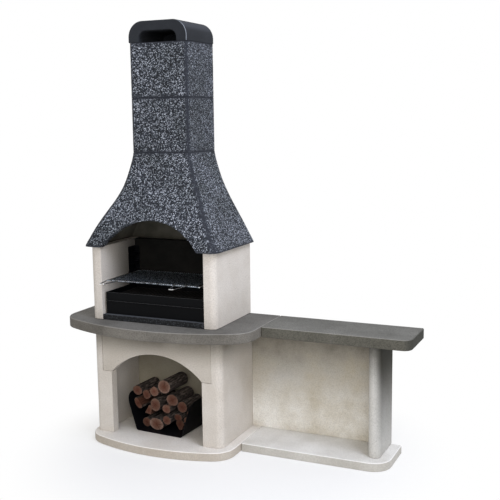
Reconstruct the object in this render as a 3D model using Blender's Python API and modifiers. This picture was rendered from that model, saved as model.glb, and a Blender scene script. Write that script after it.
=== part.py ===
"""Outdoor masonry barbecue: a fire chamber under a hood and chimney, a log niche below, and a side worktop.

Lengths are metres and Z is up. The pieces are placed in the main unit's own frame: x is 0 on its centre
plane, y is 0 on the plane that all the rear faces share and negative towards the front, and z is 0 on the
ground. One empty carries that frame, so that the middle of the whole footprint is on the world origin.
"""

import math
from itertools import combinations

import bmesh
import bpy
from mathutils import Matrix, Vector

# Gaps and edges that every piece shares
FIT_GAP = 0.0003
CUT_OVERRUN = 0.010
WELD_OVERLAP = 0.001
MERGE_DISTANCE = 0.00001
SLAB_ARRIS = 0.004
BLOCK_ARRIS = 0.002

# Steps of the round stretches
CORNER_STEPS = 6
BOW_STEPS = 20
ARCH_STEPS = 24
ROD_SIDES = 8
WIRE_SIDES = 4
LOG_SIDES = 24
ROUND_SIDES = 16
DOME_STEPS = 3
SHARP_ANGLE = math.radians(40)
FLAT_ANGLE = math.radians(0.5)

# Base slabs
BASE_THICKNESS = 0.046
BASE_HALF_WIDTH = 0.415
BASE_OFFSET = 0.015
BASE_DEPTH = 0.530
BASE_BOW_RADIUS = 1.020
BASE_CORNER_RADIUS = 0.120
SIDE_BASE_LENGTH = 0.775
SIDE_BASE_DEPTH = 0.290
SIDE_BASE_CORNER_RADIUS = 0.095

# Piers of the log niche, each a wall with a post at its front, and the arched lintel between them
PIER_HEIGHT = 0.570
PIER_DEPTH = 0.409
PIER_OUTER_HALF = 0.380
PIER_WALL = 0.060
POST_WIDTH = 0.110
POST_DEPTH = 0.047
PIER_CORNER_RADIUS = 0.038
LINTEL_STRIP = 0.055
LINTEL_HEIGHT = 0.2305
LINTEL_ARCH_RISE = 0.117
BACK_WALL_THICKNESS = 0.055
BACK_WALL_INSET = 0.004

# Worktops
WORKTOP_THICKNESS = 0.055
WORKTOP_HALF_WIDTH = 0.541
WORKTOP_DEPTH = 0.567
WORKTOP_BOW_RADIUS = 1.120
WORKTOP_CORNER_RADIUS = 0.130
SIDE_TOP_OVERHANG = 0.1047
SIDE_TOP_DEPTH = 0.272
SIDE_TOP_CORNER_RADIUS = 0.045

# Side bay under the side worktop
SIDE_PANEL_THICKNESS = 0.025
END_WALL_THICKNESS = 0.065
END_WALL_DEPTH = 0.228
END_WALL_INSET = 0.053

# Fire chamber
CHAMBER_HEADROOM = 0.039
CHAMBER_DEPTH = 0.428
CHAMBER_OUTER_HALF = 0.3655
CHAMBER_WALL = 0.0655
CHAMBER_CORNER_RADIUS = 0.032
CHAMBER_REAR_WALL = 0.050
FIREBACK_THICKNESS = 0.040
HEARTH_THICKNESS = 0.029

# Hood: its flare runs from the chimney's section at the top to the rim over the chamber walls
HOOD_HEIGHT = 0.486
HOOD_SIDE_OVERHANG = 0.0265
HOOD_FRONT_OVERHANG = 0.032
HOOD_RIM = 0.050
HOOD_TOP_CORNER_RADIUS = 0.020
HOOD_RIM_CORNER_RADIUS = 0.045
HOOD_REAR_CORNER_RADIUS = 0.012
HOOD_ARCH_INSET = 0.022
HOOD_ARCH_RISE = 0.144
# Share of the way down, then the shares of the side flare and of the front flare reached there
HOOD_FLARE_SHARES = (
    (0.00, 0.000, 0.000),
    (0.10, 0.045, 0.030),
    (0.20, 0.110, 0.070),
    (0.30, 0.185, 0.120),
    (0.40, 0.280, 0.190),
    (0.50, 0.392, 0.320),
    (0.60, 0.515, 0.500),
    (0.70, 0.642, 0.680),
    (0.80, 0.768, 0.820),
    (0.90, 0.888, 0.920),
    (1.00, 1.000, 1.000),
)

# Chimney blocks and cap
CHIMNEY_HALF_WIDTH = 0.168
CHIMNEY_DEPTH = 0.300
CHIMNEY_BLOCK_HEIGHT = 0.2765
FLUE_WALL = 0.045
FLUE_CORNER_RADIUS = 0.015
CAP_HEIGHT = 0.107
CAP_CORNER_RADIUS = 0.080
CAP_REAR_WALL = 0.050
CAP_SIDE_WALL = 0.059
CAP_TOP_WALL = 0.049
OUTLET_CORNER_RADIUS = 0.040

# Sheet-steel fire box, with the charcoal grate inside it and the ash drawer below
STEEL_SHEET = 0.003
FIRE_BOX_SIDE_CLEARANCE = 0.0067
FIRE_BOX_SETBACK = 0.023
FIRE_BOX_REAR_CLEARANCE = 0.0035
FIRE_BOX_HEIGHT = 0.115
FIRE_BOX_LEDGE = 0.015
DRAWER_BAY_HEIGHT = 0.072
DRAWER_RUNNING_GAP = 0.001
DRAWER_HEADROOM = 0.021
DRAWER_REAR_CLEARANCE = 0.006
DRAWER_LIP = 0.008
GRATE_THICKNESS = 0.012
GRATE_CLEARANCE = 0.0025
GRATE_SLOT_WIDTH = 0.010
GRATE_SLOT_PITCH = 0.020
GRATE_MARGIN = 0.018

# Grid supports: a folded angle in each rear corner, with shelves at three heights
BRACKET_WALL_LEG = 0.070
BRACKET_BACK_LEG = 0.028
BRACKET_HEAD = 0.0435
SHELF_LIFT = 0.0615
SHELF_PITCH = 0.050
SHELF_COUNT = 3
SHELF_OVERREACH = 0.0023
HOLD_DOWN_LENGTH = 0.020
BOLT_LIFT = 0.0225
BOLT_SHANK_RADIUS = 0.003
BOLT_HEAD_RADIUS = 0.006
BOLT_HEAD_HEIGHT = 0.004
BOLT_END_COVER = 0.010
BOLT_HOLE_CLEARANCE = 0.0003
BOLT_TIP_CLEARANCE = 0.002

# Cooking grid
GRID_SIDE_CLEARANCE = 0.025
GRID_REAR_CLEARANCE = 0.004
GRID_DEPTH = 0.320
GRID_ROD_RADIUS = 0.003
GRID_WIRE_RADIUS = 0.0017
GRID_WIRE_PITCH = 0.0122
GRID_WIRE_EDGE = 0.016
GRID_WELD = 0.0008
HANDLE_LENGTH = 0.098
HANDLE_FOOT = 0.008
HANDLE_BASE_WIDTH = 0.060
HANDLE_TIP_WIDTH = 0.028
HANDLE_ROD_RADIUS = 0.0025
HANDLE_BEND_RADIUS = 0.009
HANDLE_PLACE_SHARES = (-0.880, 0.593)

# Log cradle, a folded sheet that stands a little askew in the niche
CRADLE_FLOOR_WIDTH = 0.2845
CRADLE_HEIGHT = 0.197
CRADLE_REAR_CLEARANCE = 0.0405
CRADLE_LEAN = math.radians(17.5)
CRADLE_FOLD_RADIUS = 0.014
CRADLE_TOP_CORNER_RADIUS = 0.050
CRADLE_SETBACK = 0.068
CRADLE_OFFSET = 0.031
CRADLE_TURN = math.radians(-3.5)

# Each log's radius and place across and above the cradle's floor, as shares of the floor's width,
# then the setback of its front end as a share of the cradle's depth, in the order of stacking
LOG_SHARES = (
    (0.1075, -0.3736, 0.1086, 0.267),
    (0.1737, -0.0991, 0.1747, 0.169),
    (0.1093, -0.3410, 0.3241, 0.307),
    (0.0664, 0.4039, 0.0675, 0.400),
    (0.1093, 0.2323, 0.1104, 0.396),
    (0.1181, -0.4862, 0.4998, 0.133),
    (0.1494, -0.1462, 0.4959, 0.227),
    (0.0745, 0.4390, 0.2053, 0.400),
    (0.0980, -0.3360, 0.6566, 0.222),
    (0.0953, 0.1427, 0.2956, 0.120),
    (0.0872, 0.3245, 0.3206, 0.271),
    (0.0861, 0.4847, 0.3895, 0.400),
    (0.0956, 0.0995, 0.4829, 0.249),
    (0.1107, 0.3354, 0.5192, 0.316),
    (0.1314, -0.5494, 0.7451, 0.227),
    (0.1030, -0.1561, 0.7490, 0.209),
    (0.1339, 0.1716, 0.7020, 0.284),
    (0.1712, 0.0148, 0.9648, 0.209),
)

# Sizes that follow from what a piece has to hold or to fit into
BRACKET_HEIGHT = FIRE_BOX_HEIGHT + SHELF_LIFT + (SHELF_COUNT - 1) * SHELF_PITCH + BRACKET_HEAD
CHAMBER_HEIGHT = HEARTH_THICKNESS + BRACKET_HEIGHT + CHAMBER_HEADROOM
CRADLE_ROOM = PIER_DEPTH - CRADLE_SETBACK - BACK_WALL_THICKNESS - BACK_WALL_INSET - CRADLE_REAR_CLEARANCE
CRADLE_HALF_TOP = CRADLE_FLOOR_WIDTH / 2 + CRADLE_HEIGHT * math.tan(CRADLE_LEAN)
CRADLE_DEPTH = (CRADLE_ROOM - CRADLE_HALF_TOP * abs(math.sin(CRADLE_TURN))) / math.cos(CRADLE_TURN)

# Levels of the main unit, from the ground up
BASE_TOP = BASE_THICKNESS
PIER_BOTTOM = BASE_TOP + FIT_GAP
PIER_TOP = PIER_BOTTOM + PIER_HEIGHT
LINTEL_SEAT = PIER_TOP - LINTEL_HEIGHT - FIT_GAP
WORKTOP_BOTTOM = PIER_TOP + FIT_GAP
WORKTOP_TOP = WORKTOP_BOTTOM + WORKTOP_THICKNESS
CHAMBER_BOTTOM = WORKTOP_TOP + FIT_GAP
CHAMBER_TOP = CHAMBER_BOTTOM + CHAMBER_HEIGHT
HEARTH_TOP = CHAMBER_BOTTOM + HEARTH_THICKNESS
HOOD_BOTTOM = CHAMBER_TOP + FIT_GAP
HOOD_TOP = HOOD_BOTTOM + HOOD_HEIGHT

# Places that several pieces share
POST_INNER_HALF = PIER_OUTER_HALF - POST_WIDTH
NICHE_HALF_WIDTH = PIER_OUTER_HALF - PIER_WALL
CHAMBER_INNER_HALF = CHAMBER_OUTER_HALF - CHAMBER_WALL
FIREBACK_FRONT = CHAMBER_REAR_WALL + FIT_GAP + FIREBACK_THICKNESS
FLUE_HALF_WIDTH = CHIMNEY_HALF_WIDTH - FLUE_WALL
SIDE_BASE_LEFT = BASE_OFFSET + BASE_HALF_WIDTH + FIT_GAP
SIDE_BASE_RIGHT = SIDE_BASE_LEFT + SIDE_BASE_LENGTH
SIDE_TOP_LEFT = WORKTOP_HALF_WIDTH + FIT_GAP
SIDE_TOP_RIGHT = SIDE_BASE_RIGHT + SIDE_TOP_OVERHANG
END_WALL_RIGHT = SIDE_BASE_RIGHT - END_WALL_INSET
END_WALL_LEFT = END_WALL_RIGHT - END_WALL_THICKNESS

CREAM = ("#D3CBBE", 0.85, 0.0)
PALE = ("#CBC9C3", 0.85, 0.0)
BEIGE = ("#B3AC9B", 0.85, 0.0)
TOP_GREY = ("#70706F", 0.75, 0.0)
GRANITE = ("#474B53", 0.80, 0.0)
SLATE = ("#33363B", 0.70, 0.0)
SOOTED = ("#17150F", 0.90, 0.0)
BLACK_STEEL = ("#141518", 0.50, 0.6)
BLACK_IRON = ("#1A1A1B", 0.70, 0.7)
CHROME = ("#C9CBCC", 0.18, 1.0)
FIREWOOD = ("#8B6C5E", 0.85, 0.0)


def start_scene():
    """Clears the scene and makes the two collections and the empty that carries the main unit's frame."""
    for old in list(bpy.data.objects):
        bpy.data.objects.remove(old, do_unlink=True)
    pieces = bpy.data.collections.new("masonry_barbecue")
    cutters = bpy.data.collections.new("cutters")
    for collection in (pieces, cutters):
        bpy.context.scene.collection.children.link(collection)
    unit = bpy.data.objects.new("main_unit_frame", None)
    middle = (SIDE_TOP_RIGHT - WORKTOP_HALF_WIDTH) / 2
    unit.location = (-middle, WORKTOP_DEPTH / 2, 0)
    pieces.objects.link(unit)
    return pieces, cutters, unit


PIECES, CUTTERS, UNIT = start_scene()


def linear(hex_colour):
    """Turns an sRGB hex colour into the linear values that a shader takes."""
    values = [int(hex_colour[i : i + 2], 16) / 255 for i in (1, 3, 5)]
    return [v / 12.92 if v <= 0.04045 else ((v + 0.055) / 1.055) ** 2.4 for v in values] + [1]


def make_object(name, data, finish, location=(0, 0, 0), rotation=(0, 0, 0), parent=UNIT):
    """Adds a piece to the barbecue, with a material of its own."""
    piece = bpy.data.objects.new(name, data)
    piece.location = location
    piece.rotation_euler = rotation
    piece.parent = parent
    PIECES.objects.link(piece)
    colour, roughness, metallic = finish
    material = bpy.data.materials.new(name)
    material.use_nodes = True
    shader = material.node_tree.nodes["Principled BSDF"]
    shader.inputs["Base Color"].default_value = linear(colour)
    shader.inputs["Roughness"].default_value = roughness
    shader.inputs["Metallic"].default_value = metallic
    data.materials.append(material)
    return piece


def to_mesh(name, bm, smooth=False):
    """Closes a bmesh into mesh data, with its faces pointing out."""
    bmesh.ops.recalc_face_normals(bm, faces=bm.faces)
    mesh = bpy.data.meshes.new(name)
    bm.to_mesh(mesh)
    bm.free()
    if smooth:
        mesh.shade_smooth()
        mesh.set_sharp_from_angle(angle=SHARP_ANGLE)
    return mesh


def blocks(name, boxes):
    """Mesh of separate rectangular blocks, each given by its lowest and highest corner."""
    bm = bmesh.new()
    for low, high in boxes:
        low, high = Vector(low), Vector(high)
        place = Matrix.Translation((low + high) / 2) @ Matrix.Diagonal((*(high - low), 1))
        bmesh.ops.create_cube(bm, size=1, matrix=place)
    return to_mesh(name, bm)


def block(name, finish, low, high, parent=UNIT):
    """A rectangular piece, with its origin at its middle."""
    middle = (Vector(low) + Vector(high)) / 2
    mesh = blocks(name, [(Vector(low) - middle, Vector(high) - middle)])
    return make_object(name, mesh, finish, middle, parent=parent)


def cylinders(name, rods, radius, sides, smooth=True):
    """Mesh of separate round rods, each given by its two ends."""
    bm = bmesh.new()
    for start, end in rods:
        start, end = Vector(start), Vector(end)
        turn = Vector((0, 0, 1)).rotation_difference(end - start).to_matrix().to_4x4()
        bmesh.ops.create_cone(
            bm,
            cap_ends=True,
            segments=sides,
            radius1=radius,
            radius2=radius,
            depth=(end - start).length,
            matrix=Matrix.Translation((start + end) / 2) @ turn,
        )
    return to_mesh(name, bm, smooth)


def boolean(piece, mesh, operation="DIFFERENCE"):
    """Cuts, joins or trims a piece with a solid that is given in the frame of the piece's parent."""
    tool = bpy.data.objects.new(f"{piece.name}_{operation.lower()}", mesh)
    tool.parent = piece.parent
    tool.hide_render = True
    tool.display_type = "WIRE"
    CUTTERS.objects.link(tool)
    step = piece.modifiers.new(operation.title(), "BOOLEAN")
    step.operation = operation
    step.solver = "EXACT"
    step.object = tool
    return piece


def soften(piece, width, segments=1):
    """Takes the sharp arris off a cast piece."""
    edge = piece.modifiers.new("Arris", "BEVEL")
    edge.width = width
    edge.segments = segments
    edge.limit_method = "ANGLE"
    edge.angle_limit = SHARP_ANGLE
    return piece


def arc(centre, radius, start, end, steps):
    """Points of an arc between two angles in degrees, both ends included."""
    angles = [math.radians(start + (end - start) * i / steps) for i in range(steps + 1)]
    return [(centre[0] + radius * math.cos(a), centre[1] + radius * math.sin(a)) for a in angles]


def outline_mesh(name, outline, thickness):
    """Solid of a flat outline, centred on it, from a filled curve whose loose caps are welded."""
    curve = bpy.data.curves.new(name, "CURVE")
    curve.dimensions = "2D"
    curve.fill_mode = "BOTH"
    curve.extrude = thickness / 2
    spline = curve.splines.new("POLY")
    spline.points.add(len(outline) - 1)
    for point, (x, y) in zip(spline.points, outline):
        point.co = (x, y, 0, 1)
    spline.use_cyclic_u = True
    holder = bpy.data.objects.new(name, curve)
    bpy.context.scene.collection.objects.link(holder)
    bpy.context.view_layer.update()
    flat = bpy.data.meshes.new_from_object(holder.evaluated_get(bpy.context.evaluated_depsgraph_get()))
    bpy.data.objects.remove(holder)
    bm = bmesh.new()
    bm.from_mesh(flat)
    bmesh.ops.remove_doubles(bm, verts=bm.verts, dist=MERGE_DISTANCE)
    bmesh.ops.dissolve_limit(bm, angle_limit=FLAT_ANGLE, verts=bm.verts, edges=bm.edges)
    return to_mesh(name, bm)


def slab(name, finish, outline, bottom, thickness):
    """A piece of even height on a plan outline."""
    return make_object(name, outline_mesh(name, outline, thickness), finish, (0, 0, bottom + thickness / 2))


def upright(name, finish, outline, front, rear, parent=UNIT):
    """A piece of even depth behind an outline that is drawn in x and z."""
    mesh = outline_mesh(name, outline, rear - front)
    mesh.transform(Matrix.Rotation(math.radians(90), 4, "X"))
    return make_object(name, mesh, finish, (0, (front + rear) / 2, 0), parent=parent)


def mirrored(outline, side):
    """The outline as it is for the right side, 1, or turned over for the left side, -1."""
    points = [(side * x, y) for x, y in outline]
    return points if side > 0 else points[::-1]


def bow_front(half_width, depth, bow_radius, corner_radius):
    """Plan of a slab that is square at the rear and bows out at the front between two rounded corners."""
    bow_centre = bow_radius - depth
    corner_x = half_width - corner_radius
    reach = bow_radius - corner_radius
    corner_y = bow_centre - math.sqrt(reach**2 - corner_x**2)
    half_angle = math.degrees(math.asin(corner_x / reach))
    right_corner = arc((corner_x, corner_y), corner_radius, half_angle - 90, 0, CORNER_STEPS)
    bow = arc((0, bow_centre), bow_radius, -90 - half_angle, half_angle - 90, BOW_STEPS)
    left_corner = arc((-corner_x, corner_y), corner_radius, 180, 270 - half_angle, CORNER_STEPS)
    return [(-half_width, 0)] + left_corner + bow[1:-1] + right_corner + [(half_width, 0)]


def one_round_corner(left, right, depth, corner_radius):
    """Plan of a rectangle at the rear plane whose front right corner is rounded."""
    corner = arc((right - corner_radius, corner_radius - depth), corner_radius, -90, 0, CORNER_STEPS)
    return [(left, 0), (left, -depth)] + corner + [(right, 0)]


def ring(half_width, front, rear, front_radius, rear_radius, z):
    """One level of a hollow body: a rectangle in plan with rounded corners."""
    corners = (
        (-half_width + front_radius, front + front_radius, front_radius, 180),
        (half_width - front_radius, front + front_radius, front_radius, 270),
        (half_width - rear_radius, rear - rear_radius, rear_radius, 0),
        (-half_width + rear_radius, rear - rear_radius, rear_radius, 90),
    )
    points = []
    for x, y, radius, start in corners:
        points += arc((x, y), radius, start, start + 90, CORNER_STEPS)
    return [(x, y, z) for x, y in points]


def hollow_body(name, finish, outer, inner):
    """A tube whose outer and inner skins each run through their own rings, given from the bottom up."""
    bm = bmesh.new()
    loops = [[bm.verts.new(point) for point in points] for points in outer + inner[::-1]]
    for below, above in zip(loops, loops[1:] + loops[:1]):
        for corners in zip(below, below[1:] + below[:1], above[1:] + above[:1], above):
            bm.faces.new(corners)
    return make_object(name, to_mesh(name, bm, smooth=True), finish)


# Base slabs: the bowed one under the main unit, and the straight one under the side bay
base_slab = slab(
    "base_slab",
    CREAM,
    [
        (x + BASE_OFFSET, y)
        for x, y in bow_front(BASE_HALF_WIDTH, BASE_DEPTH, BASE_BOW_RADIUS, BASE_CORNER_RADIUS)
    ],
    0,
    BASE_THICKNESS,
)
side_base_slab = slab(
    "side_base_slab",
    PALE,
    one_round_corner(SIDE_BASE_LEFT, SIDE_BASE_RIGHT, SIDE_BASE_DEPTH, SIDE_BASE_CORNER_RADIUS),
    0,
    BASE_THICKNESS,
)
for piece in (base_slab, side_base_slab):
    soften(piece, SLAB_ARRIS)


def niche_pier(name, side):
    """One cast side of the log niche: a wall with a post at its front, rebated above for the lintel."""
    post_rear = POST_DEPTH - PIER_DEPTH
    outline = (
        [(POST_INNER_HALF, -PIER_DEPTH)]
        + arc(
            (PIER_OUTER_HALF - PIER_CORNER_RADIUS, PIER_CORNER_RADIUS - PIER_DEPTH),
            PIER_CORNER_RADIUS,
            -90,
            0,
            CORNER_STEPS,
        )
        + [(PIER_OUTER_HALF, 0), (NICHE_HALF_WIDTH, 0)]
        + [(NICHE_HALF_WIDTH, post_rear), (POST_INNER_HALF, post_rear)]
    )
    pier = slab(name, CREAM, mirrored(outline, side), PIER_BOTTOM, PIER_HEIGHT)
    rebate = sorted((side * (POST_INNER_HALF - CUT_OVERRUN), side * (PIER_OUTER_HALF - LINTEL_STRIP)))
    low = (rebate[0], -PIER_DEPTH - CUT_OVERRUN, LINTEL_SEAT)
    high = (rebate[1], post_rear + FIT_GAP, PIER_TOP + CUT_OVERRUN)
    boolean(pier, blocks(name, [(low, high)]))
    return soften(pier, BLOCK_ARRIS)


niche_pier("left_pier", -1)
niche_pier("right_pier", 1)


def arch_outline(half_width, half_chord, rise, bottom, top):
    """Front of a lintel whose underside is an arch that springs from its lower edge."""
    radius = (half_chord**2 + rise**2) / (2 * rise)
    spring = math.degrees(math.asin(half_chord / radius))
    arch = arc((0, bottom + rise - radius), radius, 90 + spring, 90 - spring, ARCH_STEPS)
    return [(-half_width, bottom)] + arch + [(half_width, bottom), (half_width, top), (-half_width, top)]


arch_lintel = upright(
    "arch_lintel",
    CREAM,
    arch_outline(
        PIER_OUTER_HALF - LINTEL_STRIP - FIT_GAP,
        POST_INNER_HALF,
        LINTEL_ARCH_RISE,
        LINTEL_SEAT + FIT_GAP,
        PIER_TOP,
    ),
    -PIER_DEPTH,
    POST_DEPTH - PIER_DEPTH,
)
soften(arch_lintel, BLOCK_ARRIS)

block(
    "lower_back_wall",
    BEIGE,
    (FIT_GAP - NICHE_HALF_WIDTH, -BACK_WALL_INSET - BACK_WALL_THICKNESS, PIER_BOTTOM),
    (NICHE_HALF_WIDTH - FIT_GAP, -BACK_WALL_INSET, PIER_TOP),
)

# Worktops, level with each other and butted at one straight joint
worktop = slab(
    "worktop",
    TOP_GREY,
    bow_front(WORKTOP_HALF_WIDTH, WORKTOP_DEPTH, WORKTOP_BOW_RADIUS, WORKTOP_CORNER_RADIUS),
    WORKTOP_BOTTOM,
    WORKTOP_THICKNESS,
)
side_worktop = slab(
    "side_worktop",
    TOP_GREY,
    one_round_corner(SIDE_TOP_LEFT, SIDE_TOP_RIGHT, SIDE_TOP_DEPTH, SIDE_TOP_CORNER_RADIUS),
    WORKTOP_BOTTOM,
    WORKTOP_THICKNESS,
)
for piece in (worktop, side_worktop):
    soften(piece, SLAB_ARRIS)

# Side bay: a thin back panel from the pier to the end wall, whose front edge is a full round
block(
    "side_back_panel",
    BEIGE,
    (PIER_OUTER_HALF + FIT_GAP, -SIDE_PANEL_THICKNESS, PIER_BOTTOM),
    (END_WALL_LEFT - FIT_GAP, 0, PIER_TOP),
)
nose_radius = END_WALL_THICKNESS / 2
nose_centre = (END_WALL_LEFT + nose_radius, nose_radius - END_WALL_DEPTH)
side_end_wall = slab(
    "side_end_wall",
    PALE,
    [(END_WALL_LEFT, 0)] + arc(nose_centre, nose_radius, 180, 360, 2 * CORNER_STEPS) + [(END_WALL_RIGHT, 0)],
    PIER_BOTTOM,
    PIER_HEIGHT,
)
soften(side_end_wall, BLOCK_ARRIS)


bracket_bottom = HEARTH_TOP + FIT_GAP
shelf_tops = [bracket_bottom + FIRE_BOX_HEIGHT + SHELF_LIFT + i * SHELF_PITCH for i in range(SHELF_COUNT)]
bolt_reach = FIREBACK_THICKNESS - BOLT_END_COVER


def bolt_places(side):
    """Points on the fireback where the bolts of a grid support go in, above all shelves but the lowest."""
    x = side * (CHAMBER_INNER_HALF - FIT_GAP - BRACKET_BACK_LEG / 2)
    return [Vector((x, -FIREBACK_FRONT, shelf_top + BOLT_LIFT)) for shelf_top in shelf_tops[1:]]


def bolt_holes(name, side):
    """Holes through a grid support and on into the fireback, a little wider and deeper than the bolts."""
    forward = Vector((0, -STEEL_SHEET - CUT_OVERRUN, 0))
    back = Vector((0, bolt_reach + BOLT_TIP_CLEARANCE, 0))
    rods = [(place + forward, place + back) for place in bolt_places(side)]
    return cylinders(name, rods, BOLT_SHANK_RADIUS + BOLT_HOLE_CLEARANCE, ROUND_SIDES)


def chamber_wall(name, side):
    """One side of the fire chamber, with a rounded outer front corner."""
    outline = (
        [(CHAMBER_INNER_HALF, -CHAMBER_DEPTH)]
        + arc(
            (CHAMBER_OUTER_HALF - CHAMBER_CORNER_RADIUS, CHAMBER_CORNER_RADIUS - CHAMBER_DEPTH),
            CHAMBER_CORNER_RADIUS,
            -90,
            0,
            CORNER_STEPS,
        )
        + [(CHAMBER_OUTER_HALF, 0), (CHAMBER_INNER_HALF, 0)]
    )
    return soften(slab(name, CREAM, mirrored(outline, side), CHAMBER_BOTTOM, CHAMBER_HEIGHT), BLOCK_ARRIS)


chamber_wall("chamber_left_wall", -1)
chamber_wall("chamber_right_wall", 1)

chamber_span = CHAMBER_INNER_HALF - FIT_GAP
block(
    "chamber_rear_wall",
    CREAM,
    (-chamber_span, -CHAMBER_REAR_WALL, CHAMBER_BOTTOM),
    (chamber_span, 0, CHAMBER_TOP),
)
fireback = block(
    "fireback",
    SOOTED,
    (-chamber_span, -FIREBACK_FRONT, CHAMBER_BOTTOM),
    (chamber_span, -CHAMBER_REAR_WALL - FIT_GAP, CHAMBER_TOP),
)
for side in (-1, 1):
    boolean(fireback, bolt_holes("fireback", side))
hearth_slab = block(
    "hearth_slab",
    GRANITE,
    (-chamber_span, -CHAMBER_DEPTH, CHAMBER_BOTTOM),
    (chamber_span, -FIREBACK_FRONT - FIT_GAP, HEARTH_TOP),
)
soften(hearth_slab, BLOCK_ARRIS)


def hood_rings(top_half, rim_half, top_front, rim_front, rear, radii):
    """Levels of one skin of the hood, from the rim up, between its top and rim sections."""
    top_radius, rim_radius, rear_radius = radii
    rings = []
    for down, side_share, front_share in reversed(HOOD_FLARE_SHARES):
        rings.append(
            ring(
                top_half + side_share * (rim_half - top_half),
                -top_front - front_share * (rim_front - top_front),
                -rear,
                top_radius + side_share * (rim_radius - top_radius),
                rear_radius,
                HOOD_TOP - down * HOOD_HEIGHT,
            )
        )
    return rings


rim_half_width = CHAMBER_OUTER_HALF + HOOD_SIDE_OVERHANG
rim_front = CHAMBER_DEPTH + HOOD_FRONT_OVERHANG
flue_front = CHIMNEY_DEPTH - FLUE_WALL
hood = hollow_body(
    "hood",
    GRANITE,
    hood_rings(
        CHIMNEY_HALF_WIDTH,
        rim_half_width,
        CHIMNEY_DEPTH,
        rim_front,
        0,
        (HOOD_TOP_CORNER_RADIUS, HOOD_RIM_CORNER_RADIUS, HOOD_REAR_CORNER_RADIUS),
    ),
    hood_rings(
        FLUE_HALF_WIDTH,
        rim_half_width - HOOD_RIM,
        flue_front,
        rim_front - HOOD_RIM,
        FLUE_WALL,
        (FLUE_CORNER_RADIUS, HOOD_TOP_CORNER_RADIUS, FLUE_CORNER_RADIUS),
    ),
)
# The arch in the hood's front is cut by one cylinder that stops short of the rear wall
hood_arch_half = CHAMBER_INNER_HALF - HOOD_ARCH_INSET
hood_arch_radius = (hood_arch_half**2 + HOOD_ARCH_RISE**2) / (2 * HOOD_ARCH_RISE)
hood_arch_height = HOOD_BOTTOM + HOOD_ARCH_RISE - hood_arch_radius
arch_front = (0, -rim_front - CUT_OVERRUN, hood_arch_height)
arch_rear = (0, CUT_OVERRUN - flue_front, hood_arch_height)
boolean(hood, cylinders("hood_arch", [(arch_front, arch_rear)], hood_arch_radius, 4 * ARCH_STEPS))


def chimney_block(name, bottom):
    """One length of chimney: a rounded rectangular tube."""
    levels = (bottom, bottom + CHIMNEY_BLOCK_HEIGHT)
    outer = [
        ring(CHIMNEY_HALF_WIDTH, -CHIMNEY_DEPTH, 0, HOOD_TOP_CORNER_RADIUS, HOOD_REAR_CORNER_RADIUS, z)
        for z in levels
    ]
    inner = [
        ring(FLUE_HALF_WIDTH, -flue_front, -FLUE_WALL, FLUE_CORNER_RADIUS, FLUE_CORNER_RADIUS, z)
        for z in levels
    ]
    return hollow_body(name, GRANITE, outer, inner)


lower_block_bottom = HOOD_TOP + FIT_GAP
upper_block_bottom = lower_block_bottom + CHIMNEY_BLOCK_HEIGHT + FIT_GAP
chimney_block("chimney_lower_block", lower_block_bottom)
chimney_block("chimney_upper_block", upper_block_bottom)

# Cap: a rounded top on the last block, hollowed out so that the smoke leaves at the front
cap_bottom = upper_block_bottom + CHIMNEY_BLOCK_HEIGHT + FIT_GAP
cap_top = cap_bottom + CAP_HEIGHT
cap_corner_x = CHIMNEY_HALF_WIDTH - CAP_CORNER_RADIUS
cap_corner_z = cap_top - CAP_CORNER_RADIUS
chimney_cap = upright(
    "chimney_cap",
    SLATE,
    [(-CHIMNEY_HALF_WIDTH, cap_bottom), (CHIMNEY_HALF_WIDTH, cap_bottom)]
    + arc((cap_corner_x, cap_corner_z), CAP_CORNER_RADIUS, 0, 90, CORNER_STEPS)
    + arc((-cap_corner_x, cap_corner_z), CAP_CORNER_RADIUS, 90, 180, CORNER_STEPS),
    -CHIMNEY_DEPTH,
    0,
)
soften(chimney_cap, BLOCK_ARRIS)
outlet_half = CHIMNEY_HALF_WIDTH - CAP_SIDE_WALL
outlet_corner_x = outlet_half - OUTLET_CORNER_RADIUS
outlet_corner_z = cap_top - CAP_TOP_WALL - OUTLET_CORNER_RADIUS
outlet_front = -CHIMNEY_DEPTH - CUT_OVERRUN
outlet = outline_mesh(
    "outlet",
    [(-outlet_half, cap_bottom - CUT_OVERRUN), (outlet_half, cap_bottom - CUT_OVERRUN)]
    + arc((outlet_corner_x, outlet_corner_z), OUTLET_CORNER_RADIUS, 0, 90, CORNER_STEPS)
    + arc((-outlet_corner_x, outlet_corner_z), OUTLET_CORNER_RADIUS, 90, 180, CORNER_STEPS),
    -CAP_REAR_WALL - outlet_front,
)
outlet.transform(Matrix.Rotation(math.radians(90), 4, "X"))
outlet.transform(Matrix.Translation((0, (outlet_front - CAP_REAR_WALL) / 2, 0)))
boolean(chimney_cap, outlet)

# Fire box: a steel casing with a tray space on top, a ledge for the grate and a bay for the ash drawer
bracket_face = CHAMBER_INNER_HALF - FIT_GAP - STEEL_SHEET
box_half = bracket_face - FIRE_BOX_SIDE_CLEARANCE
box_front = FIRE_BOX_SETBACK - CHAMBER_DEPTH
box_rear = -FIREBACK_FRONT - FIT_GAP - STEEL_SHEET - FIRE_BOX_REAR_CLEARANCE
box_bottom = HEARTH_TOP + FIT_GAP
box_top = box_bottom + FIRE_BOX_HEIGHT
bay_floor = box_bottom + STEEL_SHEET
bay_top = box_bottom + DRAWER_BAY_HEIGHT
ledge_top = bay_top + STEEL_SHEET
inner_half = box_half - STEEL_SHEET
inner_rear = box_rear - STEEL_SHEET
bay_front = box_front + STEEL_SHEET + FIT_GAP
casing = block(
    "fire_box_casing",
    BLACK_STEEL,
    (-box_half, box_front, box_bottom),
    (box_half, box_rear, box_top),
)
front_cut = (
    (-box_half - CUT_OVERRUN, box_front - CUT_OVERRUN, box_bottom - CUT_OVERRUN),
    (box_half + CUT_OVERRUN, bay_front, bay_top),
)
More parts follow.
